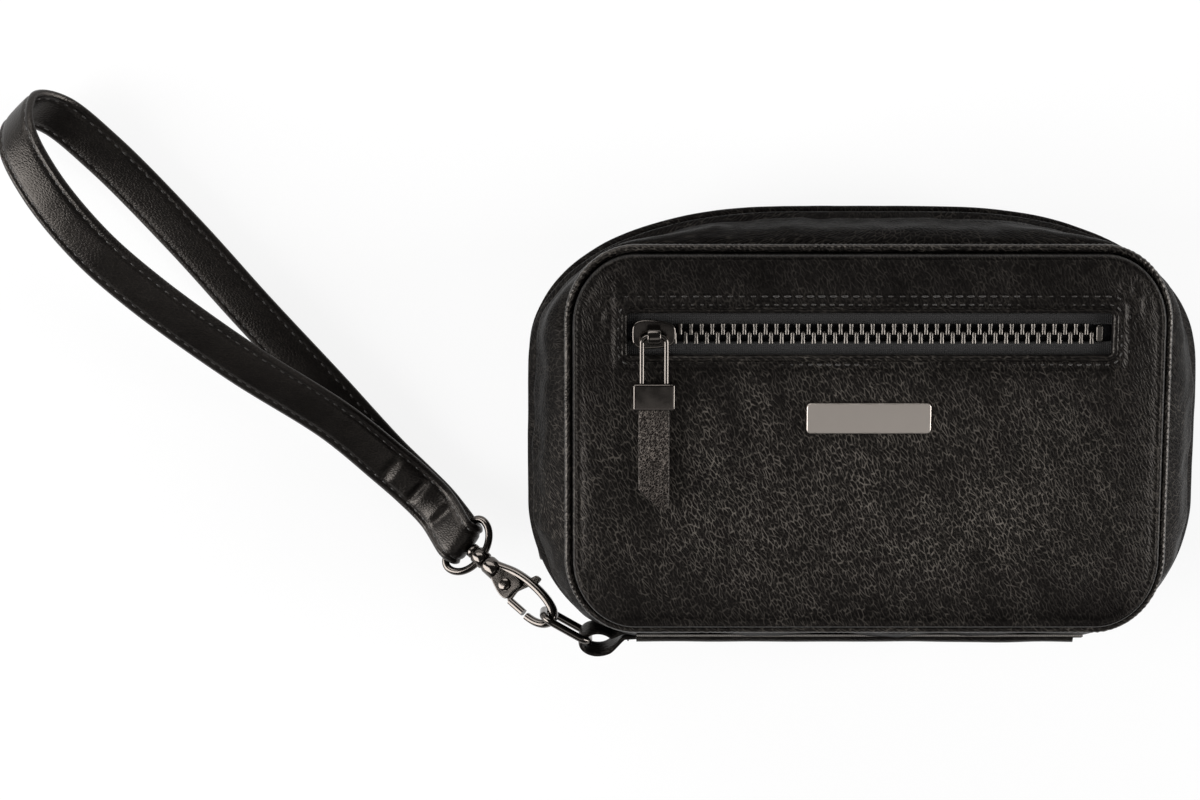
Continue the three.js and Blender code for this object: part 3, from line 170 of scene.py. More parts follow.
def catmull_rom(points: Array, steps: int) -> Array:
    """Closed centripetal Catmull-Rom curve: cubic pieces whose knots are spaced by root distance."""
    p0, p1, p2, p3 = (np.roll(points, shift, axis=0) for shift in (1, 0, -1, -2))
    d0, d1, d2 = (np.sqrt(np.linalg.norm(b - a, axis=1))[:, None] for a, b in ((p0, p1), (p1, p2), (p2, p3)))
    start = d1 * ((p1 - p0) / d0 - (p2 - p0) / (d0 + d1) + (p2 - p1) / d1)
    end = d1 * ((p2 - p1) / d1 - (p3 - p1) / (d1 + d2) + (p3 - p2) / d2)
    t = np.linspace(0.0, 1.0, steps, endpoint=False)[:, None, None]
    square = 3.0 * (p2 - p1) - 2.0 * start - end
    cube = 2.0 * (p1 - p2) + start + end
    return (p1 + start * t + square * t**2 + cube * t**3).transpose(1, 0, 2).reshape(-1, 3)


def raised(flat: Array, z: float) -> Array:
    """Flat points given one more coordinate, the same for all."""
    return np.column_stack([flat, np.full(len(flat), z)])


def stacked(flat: Array, z: Array) -> Array:
    """Rows of flat points, each lifted to its own height."""
    return np.concatenate([flat, np.broadcast_to(z[:, None], flat.shape[:-1])[..., None]], axis=-1)


def smoothed(outline: Array, reach: int) -> Array:
    """Closed outline whose points are averaged with their neighbours on both sides."""
    shifts = range(-reach, reach + 1)
    return sum(np.roll(outline, k, axis=0) for k in shifts) / len(shifts)


def superellipse(width: float, height: float, power: float, count: int) -> Array:
    """Closed section: |x / a| to the power plus |y / b| to the power is one."""
    angle = np.linspace(0.0, TURN, count, endpoint=False)
    c, s = np.cos(angle), np.sin(angle)
    x = np.sign(c) * np.abs(c) ** (2.0 / power) * width / 2.0
    y = np.sign(s) * np.abs(s) ** (2.0 / power) * height / 2.0
    return np.stack([x, y], axis=1)


def scaled(section: Array, x: float | Array, y: float | Array) -> Array:
    """A section scaled across and up by its own amounts at each point of a path."""
    return section[None] * np.stack(np.broadcast_arrays(x, y), axis=-1)[:, None]


# Surfaces and pieces


@dataclass
class Surface:
    """Grid of points in millimetres, row by row, and how its edges join.

    points has rows, columns and xyz on its last three axes; a leading axis holds separate copies. Columns
    always close on themselves. Rows close too, or else the first and last are capped by a fan.
    """

    points: Array
    wrap_rows: bool = False

    def tessellate(self) -> tuple[Array, Array, Array, Array]:
        """Turns the grid into faces that point out.

        Returns:
            Vertices, quads, triangles, and the UV of each loop in millimetres along columns and rows.
        """
        grid = self.points if self.points.ndim == 4 else self.points[None]
        copies, rows, columns, _ = grid.shape
        spans = rows if self.wrap_rows else rows - 1
        i, j = np.meshgrid(np.arange(spans), np.arange(columns), indexing="ij")
        corner_i = np.stack([i, i, i + 1, i + 1], axis=-1)
        corner_j = np.stack([j, j + 1, j + 1, j], axis=-1)
        first = np.arange(copies)[:, None, None, None] * rows * columns
        quads = (first + (corner_i % rows) * columns + corner_j % columns).reshape(-1, 4)
        around = np.linalg.norm(np.roll(grid, -1, axis=2) - grid, axis=-1).mean((0, 1))
        along = np.linalg.norm(np.roll(grid, -1, axis=1) - grid, axis=-1).mean((0, 2))
        u = np.concatenate([[0.0], np.cumsum(around)])
        v = np.concatenate([[0.0], np.cumsum(along)])
        uv = np.tile(np.stack([u[corner_j], v[corner_i]], axis=-1).reshape(-1, 2), (copies, 1))
        vertices = grid.reshape(-1, 3)
        triangles = np.zeros((0, 3), dtype=int)
        if not self.wrap_rows:
            base = np.arange(copies)[:, None] * rows * columns
            ring = np.arange(columns)[None, :]
            after = (ring + 1) % columns
            hub = len(vertices) + np.arange(copies)[:, None] + 0 * ring
            low = np.stack([base + after, base + ring, hub], axis=-1)
            last = base + (rows - 1) * columns
            high = np.stack([last + ring, last + after, hub + copies], axis=-1)
            triangles = np.concatenate([low.reshape(-1, 3), high.reshape(-1, 3)])
            vertices = np.concatenate([vertices, grid[:, 0].mean(1), grid[:, -1].mean(1)])
            flat = np.stack([u[ring], u[after], 0.0 * ring + u.mean()], axis=-1)
            ends = np.stack([flat, 0.0 * flat], axis=-1).reshape(-1, 2)
            uv = np.concatenate([uv, np.tile(ends, (2 * copies, 1))])
        corners = vertices[np.concatenate([quads[:, :3], quads[:, [0, 2, 3]], triangles])]
        volume = np.einsum("ij,ij->", corners[:, 0], np.cross(corners[:, 1], corners[:, 2]))
        if volume < 0.0:
            loops = len(quads) * 4
            uv = np.concatenate([uv[:loops].reshape(-1, 4, 2)[:, ::-1].reshape(-1, 2),
                                 uv[loops:].reshape(-1, 3, 2)[:, ::-1].reshape(-1, 2)])
            quads, triangles = quads[:, ::-1], triangles[:, ::-1]
        return vertices, quads, triangles, uv


def sweep(path: Array, section: Array, side: Array, up: Array, closed: bool) -> Surface:
    """Carries a section along a path: point = path + x times side + y times up.

    Args:
        path: Points of the path.
        section: Closed section, one for the whole path or one per point.
        side: Direction of the section's x axis, one for the whole path or one per point.
        up: Direction of the section's y axis, likewise.
        closed: Whether the path joins itself.

    Returns:
        The swept surface.
    """
    side, up = np.broadcast_to(side, path.shape), np.broadcast_to(up, path.shape)
    x, y = section[..., 0, None], section[..., 1, None]
    points = path[:, None] + x * side[:, None] + y * up[:, None]
    return Surface(points, wrap_rows=closed)


def flat_sweep(path: Array, section: Array, up: Array, closed: bool) -> Surface:
    """Carries a section along a path that lies square to one up direction."""
    return sweep(path, section, unit(np.cross(tangents(path, closed), up)), up, closed)


def wire(path: Array, diameter: float, normal: Array, closed: bool = True, sides: int = 20) -> Surface:
    """Round wire along a flat path whose plane has the given normal."""
    return flat_sweep(path, superellipse(diameter, diameter, 2.0, sides), unit(normal), closed)


def turned(profile: Sequence[tuple[float, float]], origin: Array, axes: Array, sides: int = 40) -> Surface:
    """Turned piece: a profile of (place along the axis, radius) swung round the first of the axes."""
    along, radius = np.asarray(profile, float).T
    angle = np.linspace(0.0, TURN, sides, endpoint=False)
    ring = np.cos(angle)[:, None] * axes[1] + np.sin(angle)[:, None] * axes[2]
    points = origin + along[:, None, None] * axes[0] + radius[:, None, None] * ring
    return Surface(points)


def offset_outline(outline: Array, distance: float) -> Array:
    """Moves each point of a counter-clockwise flat outline inwards along its mean normal."""
    travel = tangents(outline, True)
    return outline + distance * np.stack([-travel[:, 1], travel[:, 0]], axis=1)


def slab(outline: Array, low: float, high: float, edge: float, place: Place, steps: int = 3) -> Surface:
    """Flat piece with rounded edges: drawn in by edge (1 - sin a) at a climb of edge (1 - cos a).

    Args:
        outline: Counter-clockwise outline in the place's x and y.
        low: Lower face in the place's z.
        high: Upper face in the place's z.
        edge: Radius of the rounded edges.
        place: Where the piece lies.
        steps: Steps in each rounded edge.

    Returns:
        The closed surface.
    """
    angle = np.linspace(0.0, QUARTER, steps + 1)
    inset = edge * (1.0 - np.sin(angle))
    insets = np.concatenate([[1.25 * edge], inset, inset[::-1], [1.25 * edge]])
    climb = np.concatenate([[0.0], edge * (1.0 - np.cos(angle))])
    levels = np.concatenate([low + climb, high - climb[::-1]])
    rings = [raised(offset_outline(outline, d), z) for d, z in zip(insets, levels)]
    return Surface(place.put(np.array(rings)))


def rounded_rectangle(width: float, height: float, radius: float, steps: int = 8, sides: int = 1) -> Array:
    """Counter-clockwise rounded rectangle about the origin, starting at its right side's upper end."""
    spec = Outline(width, height, radius, radius, 2.0, radius, radius)
    return spec.ring(0.0, Layout(steps, sides, sides))


@dataclass(frozen=True)
class Place:
    """A local frame: an origin and three axes in the case's frame."""

    origin: tuple[float, float, float]
    x: tuple[float, float, float] = (1.0, 0.0, 0.0)
    y: tuple[float, float, float] = (0.0, 1.0, 0.0)
    z: tuple[float, float, float] = (0.0, 0.0, 1.0)

    @property
    def axes(self) -> Array:
        """The three axes as rows."""
        return np.array([self.x, self.y, self.z])

    def put(self, points: Array) -> Array:
        """Local points in the case's frame: origin plus coordinates times axes."""
        return np.array(self.origin) + points @ self.axes


@dataclass(frozen=True)
class Layout:
    """How many columns an outline has in each corner, long side and short side."""

    corner: int
    long_side: int
    short_side: int

    @property
    def starts(self) -> tuple[int, int, int, int]:
        """Index of the first point of each corner: top right, top left, bottom left, bottom right."""
        first = self.corner + self.long_side
        second = first + self.corner + self.short_side
        third = second + self.corner + self.long_side
        return 0, first, second, third


@dataclass(frozen=True)
class Outline:
    """Rounded rectangle whose top and bottom corners are quarter superellipses of their own radii."""

    width: float | Array
    height: float | Array
    top_x: float | Array
    top_y: float | Array
    top_power: float | Array
    bottom_x: float | Array
    bottom_y: float | Array

    def blend(self, other: Outline, share: Array) -> Outline:
        """Outline whose every measure lies a share of the way to another's."""
        names = self.__dataclass_fields__
        mixed = {n: getattr(self, n) * (1.0 - share) + getattr(other, n) * share for n in names}
        return Outline(**mixed)

    def ring(self, inset: float | Array, layout: Layout) -> Array:
        """Points of the outline drawn in by an inset.

        Each corner is centre + (sign cos |cos|^(2/p) rx, sign sin |sin|^(2/p) ry); sides are straight.

        Args:
            inset: How far the sides and radii are drawn in; a column of insets gives one ring for each.
            layout: Columns in each corner and side.

        Returns:
            Ring points with x and y on the last axis, counter-clockwise from the right side's upper end.
        """
        w, h = self.width / 2.0 - inset, self.height / 2.0 - inset
        tx, ty = self.top_x - inset, self.top_y - inset
        bx, by = self.bottom_x - inset, self.bottom_y - inset
        corners = ((w - tx, h - ty, tx, ty, self.top_power), (tx - w, h - ty, tx, ty, self.top_power),
                   (bx - w, by - h, bx, by, 2.0), (w - bx, by - h, bx, by, 2.0))
        counts = (layout.long_side, layout.short_side, layout.long_side, layout.short_side)
        arcs = []
        for k, (cx, cy, rx, ry, power) in enumerate(corners):
            angle = QUARTER * (k + np.linspace(0.0, 1.0, layout.corner + 1))
            c, s = np.cos(angle), np.sin(angle)
            x = cx + np.sign(c) * np.abs(c) ** (2.0 / power) * rx
            y = cy + np.sign(s) * np.abs(s) ** (2.0 / power) * ry
            arcs.append(np.stack(np.broadcast_arrays(x, y), axis=-1))
        parts = []
        for k, count in enumerate(counts):
            start, end = arcs[k][..., -1:, :], arcs[(k + 1) % 4][..., :1, :]
            share = np.linspace(0.0, 1.0, count + 1)[:-1, None]
            parts += [arcs[k][..., :-1, :], start + (end - start) * share]
        return np.concatenate(parts, axis=-2)


# Materials

# Distance between the bands of a wave texture at scale one
WAVE_PERIOD = TURN / 20.0
Tree = bpy.types.NodeTree
Node = bpy.types.Node
Socket = bpy.types.NodeSocket


def linear(code: str) -> tuple[float, float, float, float]:
    """Linear RGBA of an sRGB hex colour."""
    values = [int(code[k:k + 2], 16) / 255.0 for k in (1, 3, 5)]
    return (*(v / 12.92 if v <= 0.04045 else ((v + 0.055) / 1.055) ** 2.4 for v in values), 1.0)


def add_node(tree: Tree, kind: str, inputs: dict | None = None, **settings) -> Node:
    """Adds a node, sets its properties, and gives its inputs values or links.

    Args:
        tree: Node tree that gets the node.
        kind: Kind of shader node.
        inputs: Value by name or number of the input; a socket, or the first output of a node, is linked.
        settings: Properties of the node.

    Returns:
        The new node.
    """
    made = tree.nodes.new(f"ShaderNode{kind}")
    for name, value in settings.items():
        setattr(made, name, value)
    for name, value in (inputs or {}).items():
        source = value.outputs[0] if isinstance(value, Node) else value
        if isinstance(source, Socket):
            tree.links.new(source, made.inputs[name])
        else:
            made.inputs[name].default_value = source
    return made


@dataclass(frozen=True)
class Finish:
    """Base of the finishes: a name, the record's slot, and a cached node material."""

    name: str
    slot: Slot

    def material(self) -> bpy.types.Material:
        """The material of this finish, made on first use."""
        made = bpy.data.materials.get(self.name)
        if made is None:
            made = bpy.data.materials.new(self.name)
            made.use_nodes = True
            tree = made.node_tree
            tree.nodes.clear()
            shader = add_node(tree, "BsdfPrincipled", self.dress(tree))
            add_node(tree, "OutputMaterial", {"Surface": shader})
        return made

    def dress(self, tree: Tree) -> dict:
        """Adds the finish's own nodes and gives the inputs of its shader."""
        raise NotImplementedError


@dataclass(frozen=True)
class EmbossedLeather(Finish):
    """Polyurethane leather pressed with a pebble grain: long soft cells in a net of fine pale creases.

    The cells stay near black and slightly warm. The pale net and the flecks at its pores are partly the
    creases' own colour and partly painted highlight; the net is painted strongest round a spot in the front
    panel's lower middle, a painted sheen, and fades outwards.
    """

    coordinates: str = "UV"
    dimensions: str = "2D"
    dark: str = "#070606"
    light: str = "#6f6962"
    grain_width: float = 0.74
    grain_length: float = 2.1
    heading: float = -27.0
    depth: float = 0.06
    rough: tuple[float, float] = (0.34, 0.46)
    crease_spacing: float = 7.0
    pore: float = 0.42
    line: float = 0.17
    faint: float = 0.2
    shine: float = 0.16
    gleam: str = "#fff4ea"
    drift: float = 1.6
    drift_spacing: float = 6.0
    # Painted sheen: the spot where the pale net is painted strongest, and how far that reaches.
    worn_centre: tuple[float, float, float] = (0.0, -11.0, 54.0)
    painted_sheen_reach: tuple[float, float, float] = (100.0, 40.0, 40.0)

    def dress(self, tree: Tree) -> dict:
        """Mixes stretched Voronoi cells, pores and ridged noise into one height, colour and roughness."""
        known = add_node(tree, "TexCoord")
        place = known.outputs[self.coordinates]
        wander = add_node(tree, "TexNoise", {
            "Vector": place, "Scale": 1.0 / (self.drift_spacing * MM), "Detail": 2.0})
        bent = add_node(tree, "VectorMath", {0: wander.outputs["Color"], 1: (self.drift * MM,) * 3},
                        operation="MULTIPLY")
        moved = add_node(tree, "VectorMath", {0: place, 1: bent}, operation="ADD")
        aligned = add_node(tree, "Mapping", {
            "Vector": moved, "Rotation": (0.0, 0.0, math.radians(self.heading))})
        across, along = 1.0 / (self.grain_width * MM), 1.0 / (self.grain_length * MM)
        cell_place = add_node(tree, "Mapping", {"Vector": aligned, "Scale": (across, along, across)})
        cells = add_node(tree, "TexVoronoi", {"Vector": cell_place, "Scale": 1.0},
                         feature="DISTANCE_TO_EDGE", voronoi_dimensions=self.dimensions)
        net = add_node(tree, "MapRange", {0: cells, 1: 0.0, 2: self.line, 3: 1.0, 4: 0.0})
        crown = add_node(tree, "MapRange", {0: cells, 1: 0.0, 2: 0.4, 3: 0.0, 4: 1.0},
                         interpolation_type="SMOOTHSTEP")
        pores = add_node(tree, "TexNoise", {"Vector": place, "Scale": 1.0 / (self.pore * MM), "Detail": 3.0})
        crease_place = add_node(tree, "Mapping", {"Vector": aligned, "Scale": (1.0, 0.3, 1.0)})
        folds = add_node(tree, "TexNoise", {
            "Vector": crease_place, "Scale": 1.0 / (self.crease_spacing * MM),
            "Detail": 5.0, "Roughness": 0.6})
        # Painted sheen: a spherical falloff makes the pale net strongest in the front panel's lower middle
        # and fainter outwards.
        sheen_place = add_node(tree, "Mapping", {
            "Vector": known.outputs["Object"],
            "Location": tuple(-c / r for c, r in zip(self.worn_centre, self.painted_sheen_reach)),
            "Scale": tuple(1.0 / (r * MM) for r in self.painted_sheen_reach)})
        painted_sheen = add_node(tree, "TexGradient", {"Vector": sheen_place}, gradient_type="SPHERICAL")
        sheen_amount = add_node(tree, "MapRange", {0: painted_sheen.outputs["Fac"], 1: 0.0, 2: 0.6, 3: self.faint, 4: 1.0})
        patch = add_node(tree, "MapRange", {0: folds, 1: 0.35, 2: 0.65, 3: 0.35, 4: 1.0})
        shown = add_node(tree, "Math", {0: sheen_amount, 1: patch}, operation="MULTIPLY")
        # Pale net lines and flecks at the pores: partly the creases' own colour, partly painted highlight of
        # the grain catching light.
        strokes = add_node(tree, "TexNoise", {"Vector": cell_place, "Scale": 0.9, "Detail": 1.0})
        broken = add_node(tree, "MapRange", {0: strokes, 1: 0.38, 2: 0.62, 3: 0.12, 4: 1.0})
        broken_lines = add_node(tree, "Math", {0: net, 1: broken}, operation="MULTIPLY")
        flecks = add_node(tree, "MapRange", {0: pores, 1: 0.54, 2: 0.74, 3: 0.0, 4: 0.35})
        grain = add_node(tree, "Math", {0: broken_lines, 1: flecks}, operation="MAXIMUM")
        pale = add_node(tree, "Math", {0: shown, 1: grain}, operation="MULTIPLY")
        height = add_node(tree, "Math", {0: pores, 1: 0.5, 2: crown}, operation="MULTIPLY_ADD")
        low, high = self.rough
        return {
            "Base Color": add_node(tree, "MixRGB", {
                "Fac": pale, "Color1": linear(self.dark), "Color2": linear(self.light)}),
            "Normal": add_node(tree, "Bump", {
                "Height": height, "Distance": self.depth * MM, "Strength": 1.0}),
            "Roughness": add_node(tree, "MapRange", {0: folds, 1: 0.3, 2: 0.7, 3: low, 4: high}),
            "Specular IOR Level": self.shine,
            "Specular Tint": linear(self.gleam),
        }


@dataclass(frozen=True)
class PlatedMetal(Finish):
    """Dark nickel plating on die-cast zinc: a mirror-like grey with faint smudges and rub marks."""

    colour: str = "#57524e"
    rough: tuple[float, float] = (0.1, 0.2)
    smudge: float = 4.0
    grit: float = 0.0
    grit_depth: float = 0.02

    def dress(self, tree: Tree) -> dict:
        """Varies the roughness with smudges and, for a satin finish, adds a fine blasted grit."""
        place = add_node(tree, "TexCoord").outputs["Object"]
        smear = add_node(tree, "TexNoise", {
            "Vector": place, "Scale": 1.0 / (self.smudge * MM), "Detail": 4.0})
        low, high = self.rough
        inputs = {
            "Base Color": linear(self.colour),
            "Metallic": 1.0,
            "Roughness": add_node(tree, "MapRange", {0: smear, 1: 0.35, 2: 0.65, 3: low, 4: high}),
        }
        if self.grit:
            grains = add_node(tree, "TexNoise", {
                "Vector": place, "Scale": 1.0 / (self.grit * MM), "Detail": 2.0})
            inputs["Normal"] = add_node(tree, "Bump", {
                "Height": grains, "Distance": self.grit_depth * MM, "Strength": 0.6})
        return inputs


@dataclass(frozen=True)
class WovenCloth(Finish):
    """Plain-woven polyester or nylon: two sets of threads over and under, matt with a faint sheen.

    The threads are drawn a little coarser than real so that the weave shows.
    """

    dark: str = "#100f0f"
    light: str = "#2b2827"
    thread: tuple[float, float] = (0.5, 0.5)
    rough: float = 0.82
    depth: float = 0.1
    sheen: float = 0.15

    def dress(self, tree: Tree) -> dict:
        """Weaves two wave textures on the piece's UV map into a height and a colour."""
        place = add_node(tree, "TexCoord").outputs["UV"]
        bands = []
        for axis, pitch in zip("XY", self.thread):
            inputs = {"Vector": place, "Scale": WAVE_PERIOD / (pitch * MM), "Distortion": 0.6, "Detail": 1.0}
            bands.append(add_node(tree, "TexWave", inputs, bands_direction=axis).outputs["Fac"])
        weave = add_node(tree, "Math", dict(enumerate(bands)), operation="MULTIPLY")
        return {
            "Base Color": add_node(tree, "MixRGB", {
                "Fac": weave, "Color1": linear(self.dark), "Color2": linear(self.light)}),
            "Normal": add_node(tree, "Bump", {
                "Height": weave, "Distance": self.depth * MM, "Strength": 1.0}),
            "Roughness": self.rough,
            "Sheen Weight": self.sheen,
        }


@dataclass(frozen=True)
class GreyBoard(Finish):
    """Pressed greyboard stiffener: matt, mottled with paper fibres."""

    dark: str = "#514a43"
    light: str = "#766d63"
    fibre: float = 0.9
    rough: float = 0.92

    def dress(self, tree: Tree) -> dict:
        """Mottles the board with fine noise."""
        place = add_node(tree, "TexCoord").outputs["Object"]
        fibres = add_node(tree, "TexNoise", {
            "Vector": place, "Scale": 1.0 / (self.fibre * MM), "Detail": 5.0})
        mottle = {"Fac": fibres, "Color1": linear(self.dark), "Color2": linear(self.light)}
        return {"Base Color": add_node(tree, "MixRGB", mottle), "Roughness": self.rough}


# Pressed on the panels: near-black cells in a net of pale creases, partly painted highlight, painted
# strongest in the lower middle as a painted sheen.
PEBBLE = EmbossedLeather("leather_pu_pebble_embossed", Slot.LEATHER, coordinates="Object")
# Thinned for the sides: the same grain almost without gloss, so that they stay dark.
SIDE_LEATHER = EmbossedLeather("leather_pu_side_skived", Slot.LEATHER, rough=(0.34, 0.44), shine=0.03)
# Stretched over edges: the grain lies shallow and a line of light runs along it.
EDGE_LEATHER = EmbossedLeather("leather_pu_edging_rolled", Slot.LEATHER, rough=(0.26, 0.36), shine=0.22,
                               depth=0.03)
# Gathered over a cord: shinier still, with short lights on its puckers.
PIPING_LEATHER = replace(EDGE_LEATHER, name="leather_pu_piping_gathered", shine=0.34, faint=0.6)
# Cut from a paler, finer skin: the tabs stand out on the panel.
PULL_LEATHER = EmbossedLeather("leather_pu_pull_tab", Slot.LEATHER, dark="#0d0b0a", light="#8d847c",
                               coordinates="Object", dimensions="3D", grain_width=0.5, grain_length=0.8,
                               heading=35.0, depth=0.08, faint=0.9)
# Waxed and pressed flat: a smooth black that shows every padded fold.
STRAP_LEATHER = EmbossedLeather("leather_pu_strap", Slot.LEATHER, light="#2e2925", grain_width=0.6,
                                grain_length=1.0, depth=0.03, rough=(0.28, 0.38), faint=0.5, shine=0.34)
# The leather's cloth back at a cut edge: a thin pale line, partly the cloth's own colour and partly a
# painted highlight along the spine's edge.
BACKING_AND_HIGHLIGHT = WovenCloth("polyester_backing_painted_highlight", Slot.LEATHER, dark="#5d5955", light="#8a857f")
# Bonded and twisted: a faint gloss, a shade lighter than the leather.
THREAD = WovenCloth("thread_bonded_polyester", Slot.LEATHER, dark="#1d1a18", light="#4a453f",
                    thread=(0.3, 0.4), rough=0.5, depth=0.05)
# Polished before plating: dark mirrors with bright edges.
NICKEL = PlatedMetal("zinc_dark_nickel_polished", Slot.GUNMETAL)
# Tumbled before plating: softer lights on each tooth.
TEETH_METAL = PlatedMetal("brass_gunmetal_plated", Slot.GUNMETAL, colour="#56524e", rough=(0.28, 0.38))
# Blasted before plating: an even pale grey without mirror images.
SATIN = PlatedMetal("zinc_satin_nickel_blasted", Slot.SATIN_PLATE, colour="#c2b9b1", rough=(0.36, 0.44),
                    grit=0.12)
# Woven tape: matt black.
TAPE = WovenCloth("polyester_zip_tape_woven", Slot.WEBBING)
# Smooth woven lining: a cool charcoal with a soft sheen.
LINING = WovenCloth("nylon_lining_woven", Slot.LINING, dark="#17171a", light="#33333a", thread=(0.7, 0.7),
                    rough=0.7, depth=0.06, sheen=0.25)
# Ribbed knit: coarse matt ribs.
ELASTIC = WovenCloth("elastic_ribbed_knit", Slot.WEBBING, dark="#0f0f10", light="#2d2b2c", thread=(0.9, 1.4),
                     depth=0.16)
# Pressed pulp: matt grey-brown paper.
BOARD = GreyBoard("greyboard_pressed", Slot.BOARD)


def make_piece(name: str, surfaces: Sequence[Surface], finish: Finish, body: str | None,
               crease: float | None = None, extra: bool = False) -> bpy.types.Object:
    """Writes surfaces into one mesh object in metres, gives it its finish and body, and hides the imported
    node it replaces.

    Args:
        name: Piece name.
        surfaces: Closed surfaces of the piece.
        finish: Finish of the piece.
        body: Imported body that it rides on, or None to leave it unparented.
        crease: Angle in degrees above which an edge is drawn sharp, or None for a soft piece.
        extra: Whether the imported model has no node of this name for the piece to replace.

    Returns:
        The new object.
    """
    vertices, loops, starts, coordinates = [], [], [], []
    first, at = 0, 0
    for surface in surfaces:
        points, quads, triangles, uv = surface.tessellate()
        vertices.append(points)
        coordinates.append(uv)
        for faces in (quads, triangles):
            loops.append((faces + first).reshape(-1))
            starts.append(at + np.arange(len(faces)) * faces.shape[1])
            at += faces.size
        first += len(points)
    mesh = bpy.data.meshes.new(name)
    corner = np.concatenate(loops).astype(np.int32)
    start = np.concatenate(starts).astype(np.int32)
    mesh.vertices.add(first)
    mesh.loops.add(len(corner))
    mesh.polygons.add(len(start))
    mesh.vertices.foreach_set("co", (np.concatenate(vertices) * MM).astype(np.float32).ravel())
    mesh.loops.foreach_set("vertex_index", corner)
    mesh.polygons.foreach_set("loop_start", start)
    layer = mesh.uv_layers.new(name="UVMap")
    layer.data.foreach_set("uv", (np.concatenate(coordinates) * MM).astype(np.float32).ravel())
    mesh.polygons.foreach_set("use_smooth", np.ones(len(start), dtype=bool))
    mesh.update(calc_edges=True)
    mesh.validate()
    if crease is not None:
        mesh.set_sharp_from_angle(angle=math.radians(crease))
    piece = bpy.data.objects.new(name, mesh)
    bpy.context.scene.collection.objects.link(piece)
    mesh.materials.append(finish.material())
    if body is not None:
        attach(piece, body)
    if not extra:
        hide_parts(name)
    LOG.info("%s: %d faces", name, len(start))
    return piece


def sew(name: str, rows: Sequence[Surface], body: str | None) -> bpy.types.Object:
    """Makes rows of stitches into one piece of thread."""
    return make_piece(name, rows, THREAD, body, extra=True)


@dataclass(frozen=True)
class Stitch:
    """A run of lock stitches: short bowed threads that dip into the leather at both ends."""

    pitch: float = 2.7
    length: float = 2.0
    diameter: float = 0.5
    sink: float = 0.12
    bow: float = 0.3

    def row(self, path: Array, out: Array, closed: bool) -> Surface:
        """Stitches set along a path.

        Each thread is z = bow (cos(pi x / length) - 1), with a round section that narrows to its ends.

        Args:
            path: Line of the seam on the surface.
            out: Outward direction of the surface, one for the whole path or one per point.
            closed: Whether the seam closes on itself.

        Returns:
            All the threads as copies of one small grid.
        """
        centre, normal = evenly(path, self.pitch, closed, np.broadcast_to(out, path.shape))
        heading = tangents(centre, closed)
        side = unit(np.cross(heading, normal))
        up = np.cross(side, heading)
        steps, sides = 6, 6
        share = np.linspace(-0.5, 0.5, steps)
        thick = self.diameter / 2.0 * np.sqrt(np.clip(1.0 - np.abs(2.0 * share) ** 3.0, 0.06, 1.0))
        angle = np.linspace(0.0, TURN, sides, endpoint=False)
        x = np.broadcast_to((share * self.length)[:, None], (steps, sides))
        y = thick[:, None] * np.cos(angle)
        z = thick[:, None] * np.sin(angle) + (np.cos(math.pi * share) - 1.0)[:, None] * self.bow - self.sink
        local = np.stack([x, y, z], axis=-1)
        frames = np.stack([heading, side, up], axis=1)
        return Surface(centre[:, None, None] + np.einsum("rcx,kxy->krcy", local, frames))


SEAM = Stitch()
FINE_SEAM = Stitch(pitch=2.2, length=1.6, diameter=0.42)


# The leather shell

SMOOTH_RING = Layout(42, 96, 40)
PANEL_RING = Layout(24, 150, 84)


